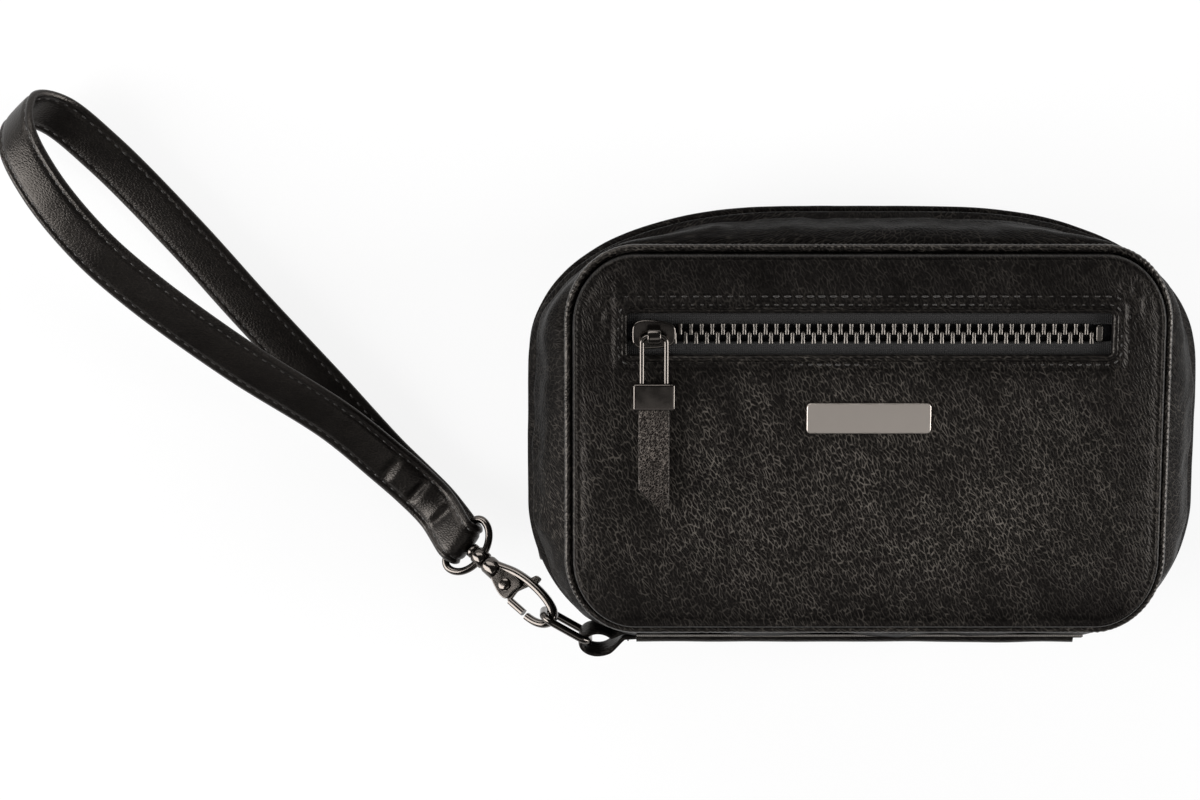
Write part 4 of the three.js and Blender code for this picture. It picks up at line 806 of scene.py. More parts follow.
@dataclass
class CaseShell:
    """Sizes that both halves share, and the flared wall between panel and zip."""

    depth: float = 54.0
    front: Outline = Outline(141.0, 91.0, 15.0, 17.0, 2.0, 15.0, 17.0)
    back: Outline = Outline(141.0, 91.0, 40.0, 28.0, 2.0, 15.0, 17.0)
    rim: Outline = Outline(162.0, 105.0, 66.0, 38.0, 2.3, 30.0, 35.0)
    panel_thickness: float = 2.0
    roll: float = 1.8
    roll_width: float = 12.0
    seam_level: float = 20.9
    edge_level: float = 4.0
    hem: float = 4.0
    hem_depth: float = 5.0
    hem_round: float = 0.7
    hem_seam: float = 7.6
    wall: float = 1.6
    piping_level: float = 22.3
    piping_out: float = 1.15
    piping_size: tuple[float, float] = (1.9, 2.2)
    pucker: float = 1.4
    shoulder: float = 2.0
    tape_inset: float = 4.3
    tape_thickness: float = 0.7
    lining_inset: float = 5.3
    lining_thickness: float = 0.8
    floors: dict[Half, float] = field(default_factory=lambda: {Half.BACK: 23.2, Half.FRONT: 18.9})

    @property
    def zip_z(self) -> float:
        """Height of the zip plane."""
        return self.depth / 2.0

    def lift(self, half: Half, level: Array) -> Array:
        """Height of a level that is measured from the zip plane outwards."""
        return self.zip_z + half.value * level

    def panel(self, half: Half) -> Outline:
        """Outline of a half's panel."""
        return self.back if half is Half.BACK else self.front

    def wall_ring(self, half: Half, level: Array, inset: Array, layout: Layout = SMOOTH_RING) -> Array:
        """Rings of the wall: the panel's outline swells to the zip's as sin(pi/2 times the way down)."""
        level, inset = np.atleast_1d(level)[:, None], np.atleast_1d(inset)[:, None]
        way = np.clip((self.seam_level - level) / (self.seam_level - self.edge_level), 0.0, 1.0)
        return self.panel(half).blend(self.rim, np.sin(way * QUARTER)).ring(inset, layout)

    def roll_drop(self, inset: Array) -> Array:
        """How far the panel's edge has rolled down at an inset: roll (1 - sqrt(1 - r squared))."""
        reach = np.clip((self.roll_width - inset) / self.roll_width, 0.0, 1.0)
        return self.roll * (1.0 - np.sqrt(1.0 - reach * reach))

    def rings(self, half: Half, flat: Array, level: Array) -> Array:
        """Flat rings lifted to their levels."""
        return stacked(flat, self.lift(half, np.atleast_1d(level)))

    def gusset_levels(self) -> Array:
        """Levels of the gusset's rows, close together where its shoulder rolls over."""
        rolled = self.seam_level - self.shoulder * (1.0 - np.cos(np.linspace(0.0, QUARTER, 10)))
        wall, hem = np.linspace(rolled[-1] - 0.4, 8.6, 22), np.linspace(8.3, self.edge_level, 14)
        return np.concatenate([rolled, wall, hem])

    def gusset_skin(self, half: Half) -> Array:
        """Outer face of the gusset, seam to hem, with crumples, a pinched seam line and a puffed shoulder.

        The shoulder is a quarter circle, s sqrt(1 - (1 - d / s) squared) at a depth d, fading down the wall.
        """
        level = self.gusset_levels()
        depth = self.seam_level - level
        rolled = self.shoulder * np.sqrt(1.0 - (1.0 - depth / self.shoulder).clip(0.0) ** 2)
        rolled = rolled * (1.0 - ease(depth, 3.0, 11.0))
        puff = 0.75 * bell(level, 5.3, 1.0) - 0.45 * bell(level, 7.5, 0.6)
        turn = ((self.edge_level + self.hem_round - level) / self.hem_round).clip(0.0, 1.0)
        edge = self.hem_round * (1.0 - np.sqrt(1.0 - turn**2))
        seam = self.panel(half).ring(0.0, SMOOTH_RING)
        full = 0.4 + 0.6 * ease(seam[:, 1], -40.0, -15.0)
        flat = self.wall_ring(half, level, edge - puff)
        flat = flat + (seam - offset_outline(seam, 1.0)) * (rolled[:, None] * full)[..., None]
        skin = self.rings(half, flat, level)
        soft = ease(level, self.edge_level, 9.0) * (1.0 - ease(level, 19.0, self.seam_level))
        out = unit(skin * LEVEL)
        folds = 0.45 * crumple(skin * (1.0, 1.0, 0.6), 19.0, 11) + 0.13 * crumple(skin, 6.0, 12)
        return skin + out * (folds * soft[:, None])[..., None]

    def gusset(self, half: Half) -> None:
        """Flared leather band: skin, rolled hem along the zip, and the inside of the wall."""
        skin = self.gusset_skin(half)
        hem_end = self.edge_level + self.hem_depth
        inside_level = np.array([self.edge_level, self.edge_level + self.hem_round, hem_end])
        hem = self.rim.ring(np.array([[self.hem - self.hem_round], [self.hem], [self.hem]]), SMOOTH_RING)
        inner_level = np.linspace(hem_end + self.wall, self.seam_level, 6)
        inner = self.wall_ring(half, inner_level, np.full(6, self.wall))
        inside = [self.rings(half, hem, inside_level), self.rings(half, inner, inner_level)]
        grid = np.concatenate([skin, *inside])
        make_piece(half.node("gusset"), [Surface(grid, wrap_rows=True)], SIDE_LEATHER, half.body)
        line = skin[np.abs(self.gusset_levels() - self.hem_seam).argmin()]
        sew(half.node("hem_stitches"), [SEAM.row(line, unit(line * LEVEL), True)], half.body)

    def piping(self, half: Half) -> None:
        """Thin roll in the seam between panel and gusset, gathered into fine uneven puckers."""
        ring = self.panel(half).ring(np.array([[-self.piping_out]]), SMOOTH_RING)
        spacing = 0.25
        path = evenly(self.rings(half, ring, self.piping_level)[0], spacing, True)[0]
        side = unit(np.cross(tangents(path, True), Z_AXIS))
        gather = 0.6 + 0.4 * crumple(path, 9.0, 21 + half.value)
        wave = TURN * np.arange(len(path)) * spacing / self.pucker + 1.7 * crumple(path, 4.0, 23)
        swell = 1.0 + 0.07 * gather * np.cos(wave)
        sections = scaled(superellipse(*self.piping_size, 2.1, 16), swell, swell)
        rolled = sweep(path, sections, side, half.value * Z_AXIS, True)
        make_piece(half.node("piping"), [rolled], PIPING_LEATHER, half.body)

    def edge_profile(self, inset: Array) -> Array:
        """Level of the panel's rim by inset: the roll, a crisp turned edge, and the groove beside it."""
        bead = 0.62 * bell(inset, 0.5, 0.46) - 0.14 * bell(inset, 1.9, 0.7)
        return self.depth / 2.0 - self.roll_drop(inset) + bead

    def panel_rows(self, half: Half, inner: Array, insets: Array, relief: Array) -> Array:
        """Skin of a panel from an inner flat grid out over its rolled rim, then back along its underside.

        Args:
            half: Which panel.
            inner: Flat rows inside the roll.
            insets: Insets of the rows on the roll, from inside to the edge.
            relief: Height to add at each point of all of these rows.

        Returns:
            Rows of points that close on themselves round the panel's edge.
        """
        rim = self.panel(half).ring(insets[:, None], PANEL_RING)
        reach = np.concatenate([np.full(len(inner), self.roll_width), insets])
        skin = self.rings(half, np.concatenate([inner, rim]), self.edge_profile(reach))
        sag = 0.16 * crumple(skin, 26.0, 31 + half.value) + 0.05 * crumple(skin, 8.0, 33)
        skin[..., 2] += half.value * (sag + relief) * ease(reach, 0.6, 5.0)[:, None]
        pick = np.linspace(len(skin) - 1, 0, 12).astype(int)
        under = skin[pick].copy()
        under[..., 2] -= half.value * self.panel_thickness
        return np.concatenate([skin, under])

    def back_panel(self) -> None:
        """Plain back panel, flat where it lies, with the same rolled and turned edge."""
        half = Half.BACK
        insets = np.concatenate([np.linspace(self.roll_width, 1.8, 22), np.linspace(1.6, 0.0, 10)])
        ring = self.panel(half).ring(self.roll_width, PANEL_RING)
        inner = ring[None] * np.linspace(0.02, 0.98, 40)[:, None, None] ** 0.8
        rows = self.panel_rows(half, inner, insets, np.zeros((len(inner) + len(insets), len(ring))))
        rows[..., 2] = np.maximum(rows[..., 2], 0.02)
        made = make_piece("back_panel", [Surface(rows)], PEBBLE, half.body)


@dataclass
class FrontPocket:
    """Front panel with its zipped window, the window's lips and stitching, and the zip itself."""

    shell: CaseShell
    window: Outline = Outline(118.0, 13.0, 2.4, 2.4, 2.0, 2.4, 2.4)
    window_y: float = 26.6
    tape_top: float = 51.7
    teeth_z: float = 51.9
    pitch: float = 2.54
    teeth_length: float = 106.68
    stop_middle: float = 54.7
    lip_level: float = 53.0
    lip_seam: float = 0.7
    outer_seam: float = 2.6
    tape_half: float = 58.6
    bag_at: tuple[float, float, float] = (0.0, 3.0, 49.0)
    bag_size: tuple[float, float, float] = (124.0, 66.0, 7.0)
    plate_at: tuple[float, float, float] = (0.0, 6.5, 54.0)
    plate_size: tuple[float, float, float] = (29.6, 7.3, 1.0)
    prong_x: float = 10.0

    def window_ring(self, outset: float, layout: Layout) -> Array:
        """Outline of the window grown by an outset, in the case's frame."""
        return self.window.ring(-outset, layout) + (0.0, self.window_y)

    def nearest_edge(self, points: Array) -> Array:
        """Nearest places on the window's edge: clamp to the inner rectangle, then step out by its radius."""
        radius = self.window.top_x
        reach = np.array([self.window.width, self.window.height]) / 2.0 - radius
        local = points - (0.0, self.window_y)
        core = np.clip(local, -reach, reach)
        return core + unit(local - core) * radius + (0.0, self.window_y)

    def relief(self, flat: Array) -> Array:
        """Height of the panel's skin: the window's lip, seam groove and pad, puckers, and a soft bulge."""
        gap = np.abs(flat - (0.0, self.window_y)) - np.array([self.window.width, self.window.height]) / 2.0
        gap = np.hypot(*np.moveaxis(gap.clip(0.0), -1, 0))
        x, y = np.moveaxis(flat, -1, 0)
        beyond = ease(np.abs(x), 58.0, 60.5)
        groove, pad = 0.3 - 0.22 * beyond, 0.12 - 0.09 * beyond
        sunk = groove * bell(gap, self.outer_seam, 0.5)
        seam = 0.4 * bell(gap, 1.0, 0.8) - sunk + pad * bell(gap, 4.6, 1.6)
        place = np.concatenate([flat, np.zeros((*gap.shape, 1))], axis=-1)
        ends = ease(np.abs(x), 56.0, 61.0) * bell(gap, 4.0, 3.0) * ease(y, 24.0, 31.0)
        puckers = 0.26 * ends * crumple(place, 2.6, 41)
        return seam + puckers + 0.5 * bell(y, -10.0, 26.0) * bell(x, 0.0, 60.0)

    def panel(self) -> None:
        """Front panel: a grid from the window's edge to the start of the roll, then over the rolled rim."""
        shell, half = self.shell, Half.FRONT
        insets = np.concatenate([np.linspace(shell.roll_width, 1.8, 28), np.linspace(1.6, 0.0, 10)])
        outer = shell.front.ring(shell.roll_width, PANEL_RING)
        inner = self.nearest_edge(outer)
        share = np.linspace(0.0, 0.99, 90)[:, None, None] ** 1.25
        flat = inner + (outer - inner) * share
        relief = self.relief(np.concatenate([flat, shell.front.ring(insets[:, None], PANEL_RING)]))
        rows = shell.panel_rows(half, flat, insets, relief)
        made = make_piece("front_panel", [Surface(rows, wrap_rows=True)], PEBBLE, half.body)
        self.window_stitches()

    def window_stitches(self) -> None:
        """Two seams at the window: one on the lips, one a foot's width above and beyond the right end."""
        height = self.shell.depth
        lip = raised(self.window_ring(self.lip_seam, PANEL_RING), height + 0.42)
        outer = raised(self.window_ring(self.outer_seam, PANEL_RING), height - 0.12)
        first = PANEL_RING.corner + PANEL_RING.long_side
        run = np.concatenate([outer[-PANEL_RING.short_side:], outer[: first + 4]])
        rows = [FINE_SEAM.row(lip, Z_AXIS, True), SEAM.row(run, Z_AXIS, False)]
        sew("pocket_stitches", rows, Half.FRONT.body)

    def lips(self) -> None:
        """Welt: a soft roll of leather round the window, puckered by its seam."""
        spacing = 0.5
        path = evenly(raised(self.window_ring(-0.6, PANEL_RING), self.lip_level), spacing, True)[0]
        arc = np.arange(len(path)) * spacing
        swell = 1.0 + 0.05 * np.cos(TURN * arc / FINE_SEAM.pitch) + 0.05 * crumple(path, 11.0, 51)
        rolled = flat_sweep(path, scaled(superellipse(1.9, 2.7, 2.3, 22), 1.0, swell), Z_AXIS, True)
        make_piece("pocket_welt", [rolled], EDGE_LEATHER, Half.FRONT.body)

    def tapes(self) -> None:
        """Two woven tapes, each with a corded edge beside the teeth and a slight dip under the lips."""
        path = raised(raised(np.linspace(-self.tape_half, self.tape_half, 120), self.window_y), 0.0)
        across = np.concatenate([np.linspace(2.1, 2.9, 5), np.linspace(3.2, 10.0, 12)])
        cord = 0.35 * bell(across, 2.5, 0.35) - 0.25 * ease(across, 5.0, 10.0)
        low = raised(across, self.tape_top - self.shell.tape_thickness)[::-1]
        section = np.concatenate([np.column_stack([across, self.tape_top + cord]), low])
        for name, sign in (("upper", 1.0), ("lower", -1.0)):
            tape = sweep(path, section, sign * Y_AXIS, Z_AXIS, False)
            make_piece(f"pocket_tape_{name}", [tape], TAPE, Half.FRONT.body, crease=50.0)

    def teeth(self) -> None:
        """Two rows of cast teeth that mesh half a pitch apart, and the stops at both ends."""
        body = Half.FRONT.body
        count = int(self.teeth_length / self.pitch)
        for name, sign, shift in (("upper", 1.0, 0.3), ("lower", -1.0, 0.8)):
            x = (np.arange(count) + shift) * self.pitch - self.teeth_length / 2.0
            centres = raised(raised(x, self.window_y), self.teeth_z)
            frames = np.broadcast_to(np.diag((sign, sign, 1.0)), (count, 3, 3))
            row = ToothShape().stamped(centres, frames)
            make_piece(f"pocket_teeth_{name}", [row], TEETH_METAL, body, crease=40.0)
        for name, sign in (("left", -1.0), ("right", 1.0)):
            place = Place((sign * self.stop_middle, self.window_y, self.teeth_z))
            block = slab(rounded_rectangle(1.7, 4.2, 0.7), -1.0, 0.9, 0.4, place)
            make_piece(f"pocket_zip_stop_{name}", [block], TEETH_METAL, body, crease=50.0)

    def bag(self) -> None:
        """Cloth bag behind the window: a flat pillow sewn shut round its edge."""
        share = np.concatenate([np.linspace(0.05, 0.995, 14), np.linspace(1.0, 0.05, 14)])
        lift = 1.15 * np.sqrt(np.clip(1.0 - share**4, 0.0, 1.0)) * np.repeat((1.0, -1.0), 14)
        flat = rounded_rectangle(*self.bag_size, 10, 24)[None] * share[:, None, None]
        rows = stacked(flat, lift) + self.bag_at
        make_piece("pocket_bag", [Surface(rows)], LINING, Half.FRONT.body)

    def plate(self) -> None:
        """Blank satin name plate with a fine rounded edge, held by its prongs."""
        place = Place(self.plate_at)
        face = slab(rounded_rectangle(*self.plate_size, 8, 12), 0.1, 1.2, 0.28, place, steps=4)
        prong = rounded_rectangle(2.0, 0.8, 0.2, 3)
        prongs = [slab(prong + (x, 0.0), -1.9, 0.3, 0.15, place) for x in (-self.prong_x, self.prong_x)]
        make_piece("name_plate", [face, *prongs], SATIN, Half.FRONT.body, crease=50.0)

    def build(self) -> None:
        """Makes the front panel and all of its pocket."""
        self.panel()
        self.lips()
        self.tapes()
        self.teeth()
        self.bag()
        self.plate()


@dataclass
class ToothShape:
    """One zip tooth in local axes: x along the zip, y from its tip to its foot, z its thickness."""

    tip: float = -0.45
    foot: float = 2.35
    width: float = 1.25
    thickness: float = 2.0

    def grid(self) -> Array:
        """Rows from tip to foot: a head that swells, a waist and a broad foot, each a rounded section."""
        share = np.array([0.0, 0.1, 0.35, 0.55, 0.8, 1.0])
        wide = np.array([0.6, 0.95, 1.0, 0.8, 1.05, 1.05]) * self.width
        thick = np.array([0.7, 0.95, 0.85, 0.9, 1.0, 1.0]) * self.thickness
        section = superellipse(1.0, 1.0, 2.4, 12)
        y = self.tip + share * (self.foot - self.tip)
        x = section[:, 0] * wide[:, None]
        z = section[:, 1] * thick[:, None]
        return np.stack([x, np.broadcast_to(y[:, None], x.shape), z], axis=-1)

    def stamped(self, centres: Array, frames: Array) -> Surface:
        """Copies of the tooth at places, each turned into its own frame of axes."""
        return Surface(centres[:, None, None] + np.einsum("rcx,kxy->krcy", self.grid(), frames))


@dataclass
class MainZip:
    """Zip round three sides of the case: tapes sewn in the hems, and teeth that mesh."""

    shell: CaseShell
    pitch: float = 2.54
    tape_levels: tuple[float, float] = (2.3, 8.5)

    def run(self, inset: float) -> Array:
        """Line of the zip: the rim's outline from the lower right corner over the top to the lower left."""
        layout = Layout(48, 140, 60)
        ring = self.shell.rim.ring(inset, layout)
        _, _, left, right = layout.starts
        begin, end = right + layout.corner // 3, left + 2 * layout.corner // 3
        return np.concatenate([ring[begin:], ring[: end + 1]])

    def build(self) -> None:
        """Makes both tapes and both rows of teeth, which mesh half a pitch apart."""
        shell = self.shell
        flat = self.run(shell.tape_inset + shell.tape_thickness / 2.0)
        path = evenly(raised(flat, shell.zip_z), 1.2, False)[0]
        side = unit(np.cross(tangents(path, False), Z_AXIS))
        low, high = self.tape_levels
        level = np.concatenate([np.linspace(low, 3.4, 6), np.linspace(4.0, high, 6)])
        thick = 0.35 + 0.3 * bell(level, 2.7, 0.4)
        section = np.concatenate([np.column_stack([thick, level]), np.column_stack([-thick, level])[::-1]])
        places = evenly(path[4:-4], self.pitch / 2.0, False)[0]
        for first, half in enumerate(Half):
            out = half.value * Z_AXIS
            tape = sweep(path, section, side, out, False)
            make_piece(half.node("zip_tape"), [tape], TAPE, half.body, crease=50.0)
            centres = places[first::2]
            travel = tangents(centres, False)
            frames = np.stack([travel, np.broadcast_to(out, centres.shape), np.cross(travel, out)], axis=1)
            row = ToothShape().stamped(centres, frames)
            make_piece(half.node("zip_teeth"), [row], TEETH_METAL, half.body, crease=40.0)


@dataclass
class Inside:
    """Linings, elastic loops and the lid's slip pocket."""

    shell: CaseShell
    elastic_level: float = 5.4
    pocket_width: float = 108.0
    pocket_y: tuple[float, float] = (-33.0, 6.9)
    pocket_level: float = 44.6
    binding_y: float = 9.9

    def lining(self, half: Half) -> None:
        """Cloth tray: floor, rounded corner and wall up to a turned edge beside the zip tape."""
        shell = self.shell
        floor = shell.floors[half] - shell.lining_thickness
        inner, corner = 10, 1.6
        bend = np.linspace(0.15, 1.4, 6)
        wall = np.linspace(floor - 1.9, shell.edge_level, 14)
        level = np.concatenate([np.full(inner, floor), floor - corner * (1.0 - np.cos(bend)), wall])
        tuck = np.concatenate([np.zeros(inner), corner * (1.0 - np.sin(bend)), np.zeros(len(wall))])
        rings = shell.wall_ring(half, level, shell.lining_inset + shell.lining_thickness + tuck)
        rings[:inner] = rings[inner] * np.linspace(0.03, 0.97, inner)[:, None, None]
        skin = shell.rings(half, rings, level)
        soft = 0.16 * crumple(skin, 17.0, 61 + half.value)
        centre = np.array([0.0, 0.0, shell.zip_z])
        skin = skin + unit(skin - centre) * (soft * ease(level, shell.edge_level, 8.0)[:, None])[..., None]
        behind = level[::-3]
        back = shell.wall_ring(half, behind, np.full(len(behind), shell.lining_inset))
        back[-4:] = rings[[9, 6, 3, 0]]
        outer = shell.rings(half, back, np.where(behind == floor, floor + shell.lining_thickness, behind))
        make_piece(half.node("lining"), [Surface(np.concatenate([skin, outer]))], LINING, half.body)

    def elastic(self, node: str, length: float, width: float, rise: float, x: float, y: float) -> None:
        """Ribbed elastic loop: an arch rise sin squared, sewn flat to the floor at both ends."""
        share = np.linspace(0.0, 1.0, 60)
        height = rise * np.sin(math.pi * share) ** 2 + self.elastic_level
        path = np.column_stack([x + length * (share - 0.5), np.full(len(share), y), height])
        up = np.cross(tangents(path, False), Y_AXIS)
        made = sweep(path, superellipse(width, 1.0, 8.0, 48), Y_AXIS, up, False)
        make_piece(node, [made], ELASTIC, Half.BACK.body, crease=50.0)
        across = np.linspace(-0.45, 0.45, 20)[:, None] * width * Y_AXIS
        rows = [FINE_SEAM.row(path[k] + across + 0.5 * Z_AXIS, Z_AXIS, False) for k in (2, -3)]
        sew(f"{node}_stitches", rows, Half.BACK.body)

    def slip_pocket(self) -> None:
        """Cloth pocket on the lid's lining with a bound mouth, sewn along its other three sides."""
        width, (low, high), z = self.pocket_width, self.pocket_y, self.pocket_level
        x, y = np.linspace(-width / 2.0, width / 2.0, 60), np.linspace(low, high, 26)
        gx, gy = np.meshgrid(x, y)
        belly = 0.5 * np.cos(math.pi * gx / width) * np.sin(math.pi * (gy - low) / (high - low) / 1.6)
        face = np.stack([gx, gy, z - 0.25 - belly.clip(0)], axis=-1)
        rear = np.stack([gx, gy, np.full(gx.shape, z)], axis=-1)
        grid = np.concatenate([face, rear[:, ::-1]], axis=1)
        body = Half.FRONT.body
        make_piece("slip_pocket", [Surface(grid)], LINING, body, crease=60.0)
        path = raised(raised(np.linspace(-width / 2.0, width / 2.0, 90), self.binding_y), z - 0.5)
        bound = sweep(path, superellipse(6.2, 1.4, 3.5, 28), Y_AXIS, Z_AXIS, False)
        make_piece("slip_pocket_binding", [bound], TAPE, body, crease=60.0)
        seam = np.array([[-52.6, 6.0], [-52.6, -31.6], [52.6, -31.6], [52.6, 6.0]])
        edge = evenly(raised(seam, z - 0.35), 1.0, False)[0]
        mouth = path + (0.0, -2.2, -0.62)
        rows = [FINE_SEAM.row(line, -Z_AXIS, False) for line in (edge, mouth)]
        sew("slip_pocket_stitches", rows, body)

    def build(self) -> None:
        """Makes everything inside the case."""
        for half in Half:
            self.lining(half)
        self.elastic("meter_elastic", 66.0, 38.0, 5.0, -18.0, 0.0)
        self.elastic("lancet_pen_elastic", 30.0, 13.0, 6.0, 40.0, 15.0)
        self.elastic("strip_vial_elastic", 30.0, 13.0, 6.0, 40.0, -15.0)
        self.slip_pocket()


@dataclass
class ZipPull:
    """Slider with its crown, and a pull of wire bail, folded ferrule and leather tab.

    place is the slider's frame: x along the zip, z out of the case; the pull hangs to -y of pull_place.
    """

    name: str
    place: Place
    pull_place: Place
    slider_width: float
    crown_rise: float
    crown_along_x: bool
    bail_width: float
    bail_reach: float
    ferrule: tuple[float, float, float]
    tab: tuple[float, float, float]
    slant: float
    curl: float = 0.0
    slider_length: float = 10.4
    plate: float = 1.0
    gap: float = 1.4
    wire: float = 1.2
    grip: float = 2.7
    crown_half: float = 1.45

    def slider(self) -> None:
        """Two bevelled plates on a web, and a bent crown for the bail."""
        long, wide = self.slider_length, self.slider_width
        mouth = superellipse(long, wide, 3.4, 48)
        taper = 1.0 - 0.14 * ease(mouth[:, 0], -long / 2.0, long / 2.0)
        mouth = mouth * np.column_stack([np.ones(48), taper])
        pieces = [slab(mouth, self.gap, self.gap + self.plate, 0.42, self.place, steps=4),
                  slab(mouth, -self.gap - self.plate, -self.gap, 0.42, self.place, steps=4),
                  slab(rounded_rectangle(4.0, 0.7, 0.2, 4), -self.gap, self.gap, 0.1, self.place)]
        base, top = self.gap + self.plate - 0.25, self.gap + self.plate + self.crown_rise + 2.2
        turn = np.linspace(math.pi, 0.0, 17)
        arch = np.column_stack([self.crown_half * np.cos(turn), top - 1.0 + np.sin(turn)])
        legs = np.concatenate([[[-self.crown_half, base]], arch, [[self.crown_half, base]]])
        zero = np.zeros(len(legs))
        columns = [zero, legs[:, 0]] if self.crown_along_x else [legs[:, 0], zero]
        path = evenly(self.place.put(np.column_stack([*columns, legs[:, 1]])), 0.25, False)[0]
        side = self.place.axes[0 if self.crown_along_x else 1]
        up = np.cross(side, tangents(path, False))
        pieces.append(sweep(path, superellipse(3.2, 0.9, 4.0, 24), side, up, False))
        node = f"{self.name}_slider"
        make_piece(node, pieces, NICKEL, node, crease=55.0)

    def pull(self) -> None:
        """Bail, ferrule and tab, hung from the hinge line through the crown."""
        place, body = self.pull_place, f"{self.name}_pull"
        reach = self.bail_reach - self.wire
        loop = rounded_rectangle(self.bail_width - self.wire, reach, 1.6, 10, 6) - (0.0, reach / 2.0)
        path = place.put(raised(loop, 0.0))
        make_piece(f"{body}_bail", [wire(path, self.wire, place.axes[2])], NICKEL, body)
        wide, tall, thick = self.ferrule
        top = -reach + self.wire / 2.0 + 0.3 + self.plate
        clasp = rounded_rectangle(wide, tall, 0.55, 6, 8) + (0.0, top - tall / 2.0)
        folded = slab(clasp, -thick / 2.0, thick / 2.0, 0.45, place, steps=4)
        make_piece(f"{body}_ferrule", [folded], NICKEL, body, crease=50.0)
        self.leather(place, body, top - tall)

    def leather(self, place: Place, body: str, bottom: float) -> None:
        """Leather tab with rounded edges and a slanted end, swollen in its middle and curled to its tip."""
        wide, long, thick = self.tab
        top = bottom + self.grip
        half, end = wide / 2.0, top - long
        corners = np.array([[-half, end + self.slant], [wide / 3.0, end], [half, end + self.slant / 4.0],
                            [half, top], [-half, top]])
        outline = evenly(corners, 0.45, True)[0]
        middle = np.array([0.0, top - long / 2.0])
        rim = np.array([(0.3, 0.53), (0.75, 0.52), (0.9, 0.5), (0.97, 0.42), (1.0, 0.2)])
        share, z = np.concatenate([rim, rim[::-1] * (1.0, -1.0)]).T
        narrow = np.stack([share, 1.0 - (1.0 - share) * 0.35], axis=1)[:, None]
        flat = middle + (outline - middle) * narrow
        local = stacked(flat, z * thick)
        local[..., 2] += 0.06 * crumple(local, 6.0, 71) * np.sign(local[..., 2])
        local[..., 2] -= self.curl * np.clip((bottom - local[..., 1]) / (long - self.grip), 0.0, 1.0) ** 1.5
        make_piece(f"{body}_tab", [Surface(place.put(local))], PULL_LEATHER, body)

    def build(self) -> None:
        """Makes the slider and its pull."""
        self.slider()
        self.pull()


@dataclass
class SpineAndTab:
    """Leather strip over the fold, and the loop tab at its left end that holds the strap's link."""

    shell: CaseShell
    length: float = 110.0
    reach: float = 12.0
    thickness: float = 1.4
    gap: float = 0.3
    fold_y: float = -53.5
    backing: float = 0.5
    bevel: float = 2.4
    lean: float = 0.38
    eye: tuple[float, float] = (-64.5, -55.1)
    tab_width: float = 5.0

    def strip(self) -> None:
        """Strip that follows both gussets: y is the wall's lower edge, with turned, stitched long edges."""
        level = np.linspace(-self.reach, self.reach, 49)
        away, shell = np.abs(level), self.shell
        way = np.clip((shell.seam_level - away) / (shell.seam_level - shell.edge_level), 0.0, 1.0)
        wall = -(shell.front.height + (shell.rim.height - shell.front.height) * np.sin(way * QUARTER)) / 2.0
        puff = 0.3 * bell(away, self.reach - 0.8, 0.7) - 0.18 * bell(away, self.reach - 2.0, 0.45)
        round_edge = 0.8 * ease(away, self.reach - 0.8, self.reach)
        outer = np.column_stack([wall - self.gap - self.thickness - puff + round_edge, shell.zip_z + level])
        under = np.column_stack([wall - self.gap - self.backing, shell.zip_z + level])
        inner = under + (self.backing, 0.0)
        skived = 1.0 - self.bevel / (self.length / 2.0)
        grid = self.layer(outer, under, skived)
        grid[..., 1] -= 0.1 * crumple(grid, 14.0, 81) * (np.arange(2 * len(level)) < len(level))
        self.bend(make_piece("spine_strip", [Surface(grid)], EDGE_LEATHER, None, crease=60.0))
        # Painted highlight: this pale layer along the strip's edge, partly the leather's cloth back, stands
        # in for the line of light there.
        cloth = self.layer(under, inner, 1.0)
        self.bend(make_piece("spine_backing_painted_highlight", [Surface(cloth)], BACKING_AND_HIGHLIGHT, None, crease=60.0, extra=True))
        rows = [SEAM.row(grid[3:-3, k], -Y_AXIS, False) for k in (4, 44)]
        self.bend(sew("spine_stitches", rows, None))

    def layer(self, outer: Array, inner: Array, share: float) -> Array:
        """Layer between two section lines run along x; the outer one stops at a share of the right half."""
        section = np.concatenate([outer, inner[::-1]])
        x = np.linspace(-0.5, 0.5, 150)[:, None] * self.length
        x = np.where((x > 0.0) & (np.arange(len(section)) < len(outer)), x * share, x)
        return np.concatenate([x[..., None], np.broadcast_to(section, (*x.shape, 2))], axis=-1)

    def bend(self, piece: bpy.types.Object) -> None:
        """Applies a piece's transform to its mesh; nothing makes it bend at the fold."""
        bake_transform(piece)

    def tab(self) -> None:
        """Folded leather loop: out from the spine, round the link's bar and back, sewn at its neck."""
        turn = np.radians(np.linspace(38.0, 322.0, 60))
        arc = self.eye + np.column_stack([4.25 * np.cos(turn), 2.85 * np.sin(turn)])
        upper = np.array([[-54.9, self.fold_y + 0.75], [-58.0, self.fold_y + 0.55]])
        lower = np.array([[-58.0, self.fold_y - 0.95], [-54.9, self.fold_y - 0.75]])
        flat = np.concatenate([upper, arc, lower])
        path = evenly(raised(flat, self.shell.zip_z), 0.35, False)[0]
        width = self.tab_width + 0.25 * crumple(path, 6.0, 82)
        band = flat_sweep(path, scaled(superellipse(1.35, 1.0, 4.0, 24), 1.0, width), Z_AXIS, False)
        x, z = band.points[..., 0], band.points[..., 2]
        band.points[..., 1] -= self.lean * (z - self.shell.zip_z) * ease(-x, 57.5, 61.5)
        make_piece("loop_tab", [band], EDGE_LEATHER, Half.BACK.body)
        line = np.array((-57.0, self.fold_y - 1.75, 0.0)) + np.linspace(25.0, 29.0, 12)[:, None] * Z_AXIS
        sew("loop_tab_stitches", [FINE_SEAM.row(line, -Y_AXIS, False)], Half.BACK.body)

    def build(self) -> None:
        """Makes the strip and the tab."""
        self.strip()
        self.tab()


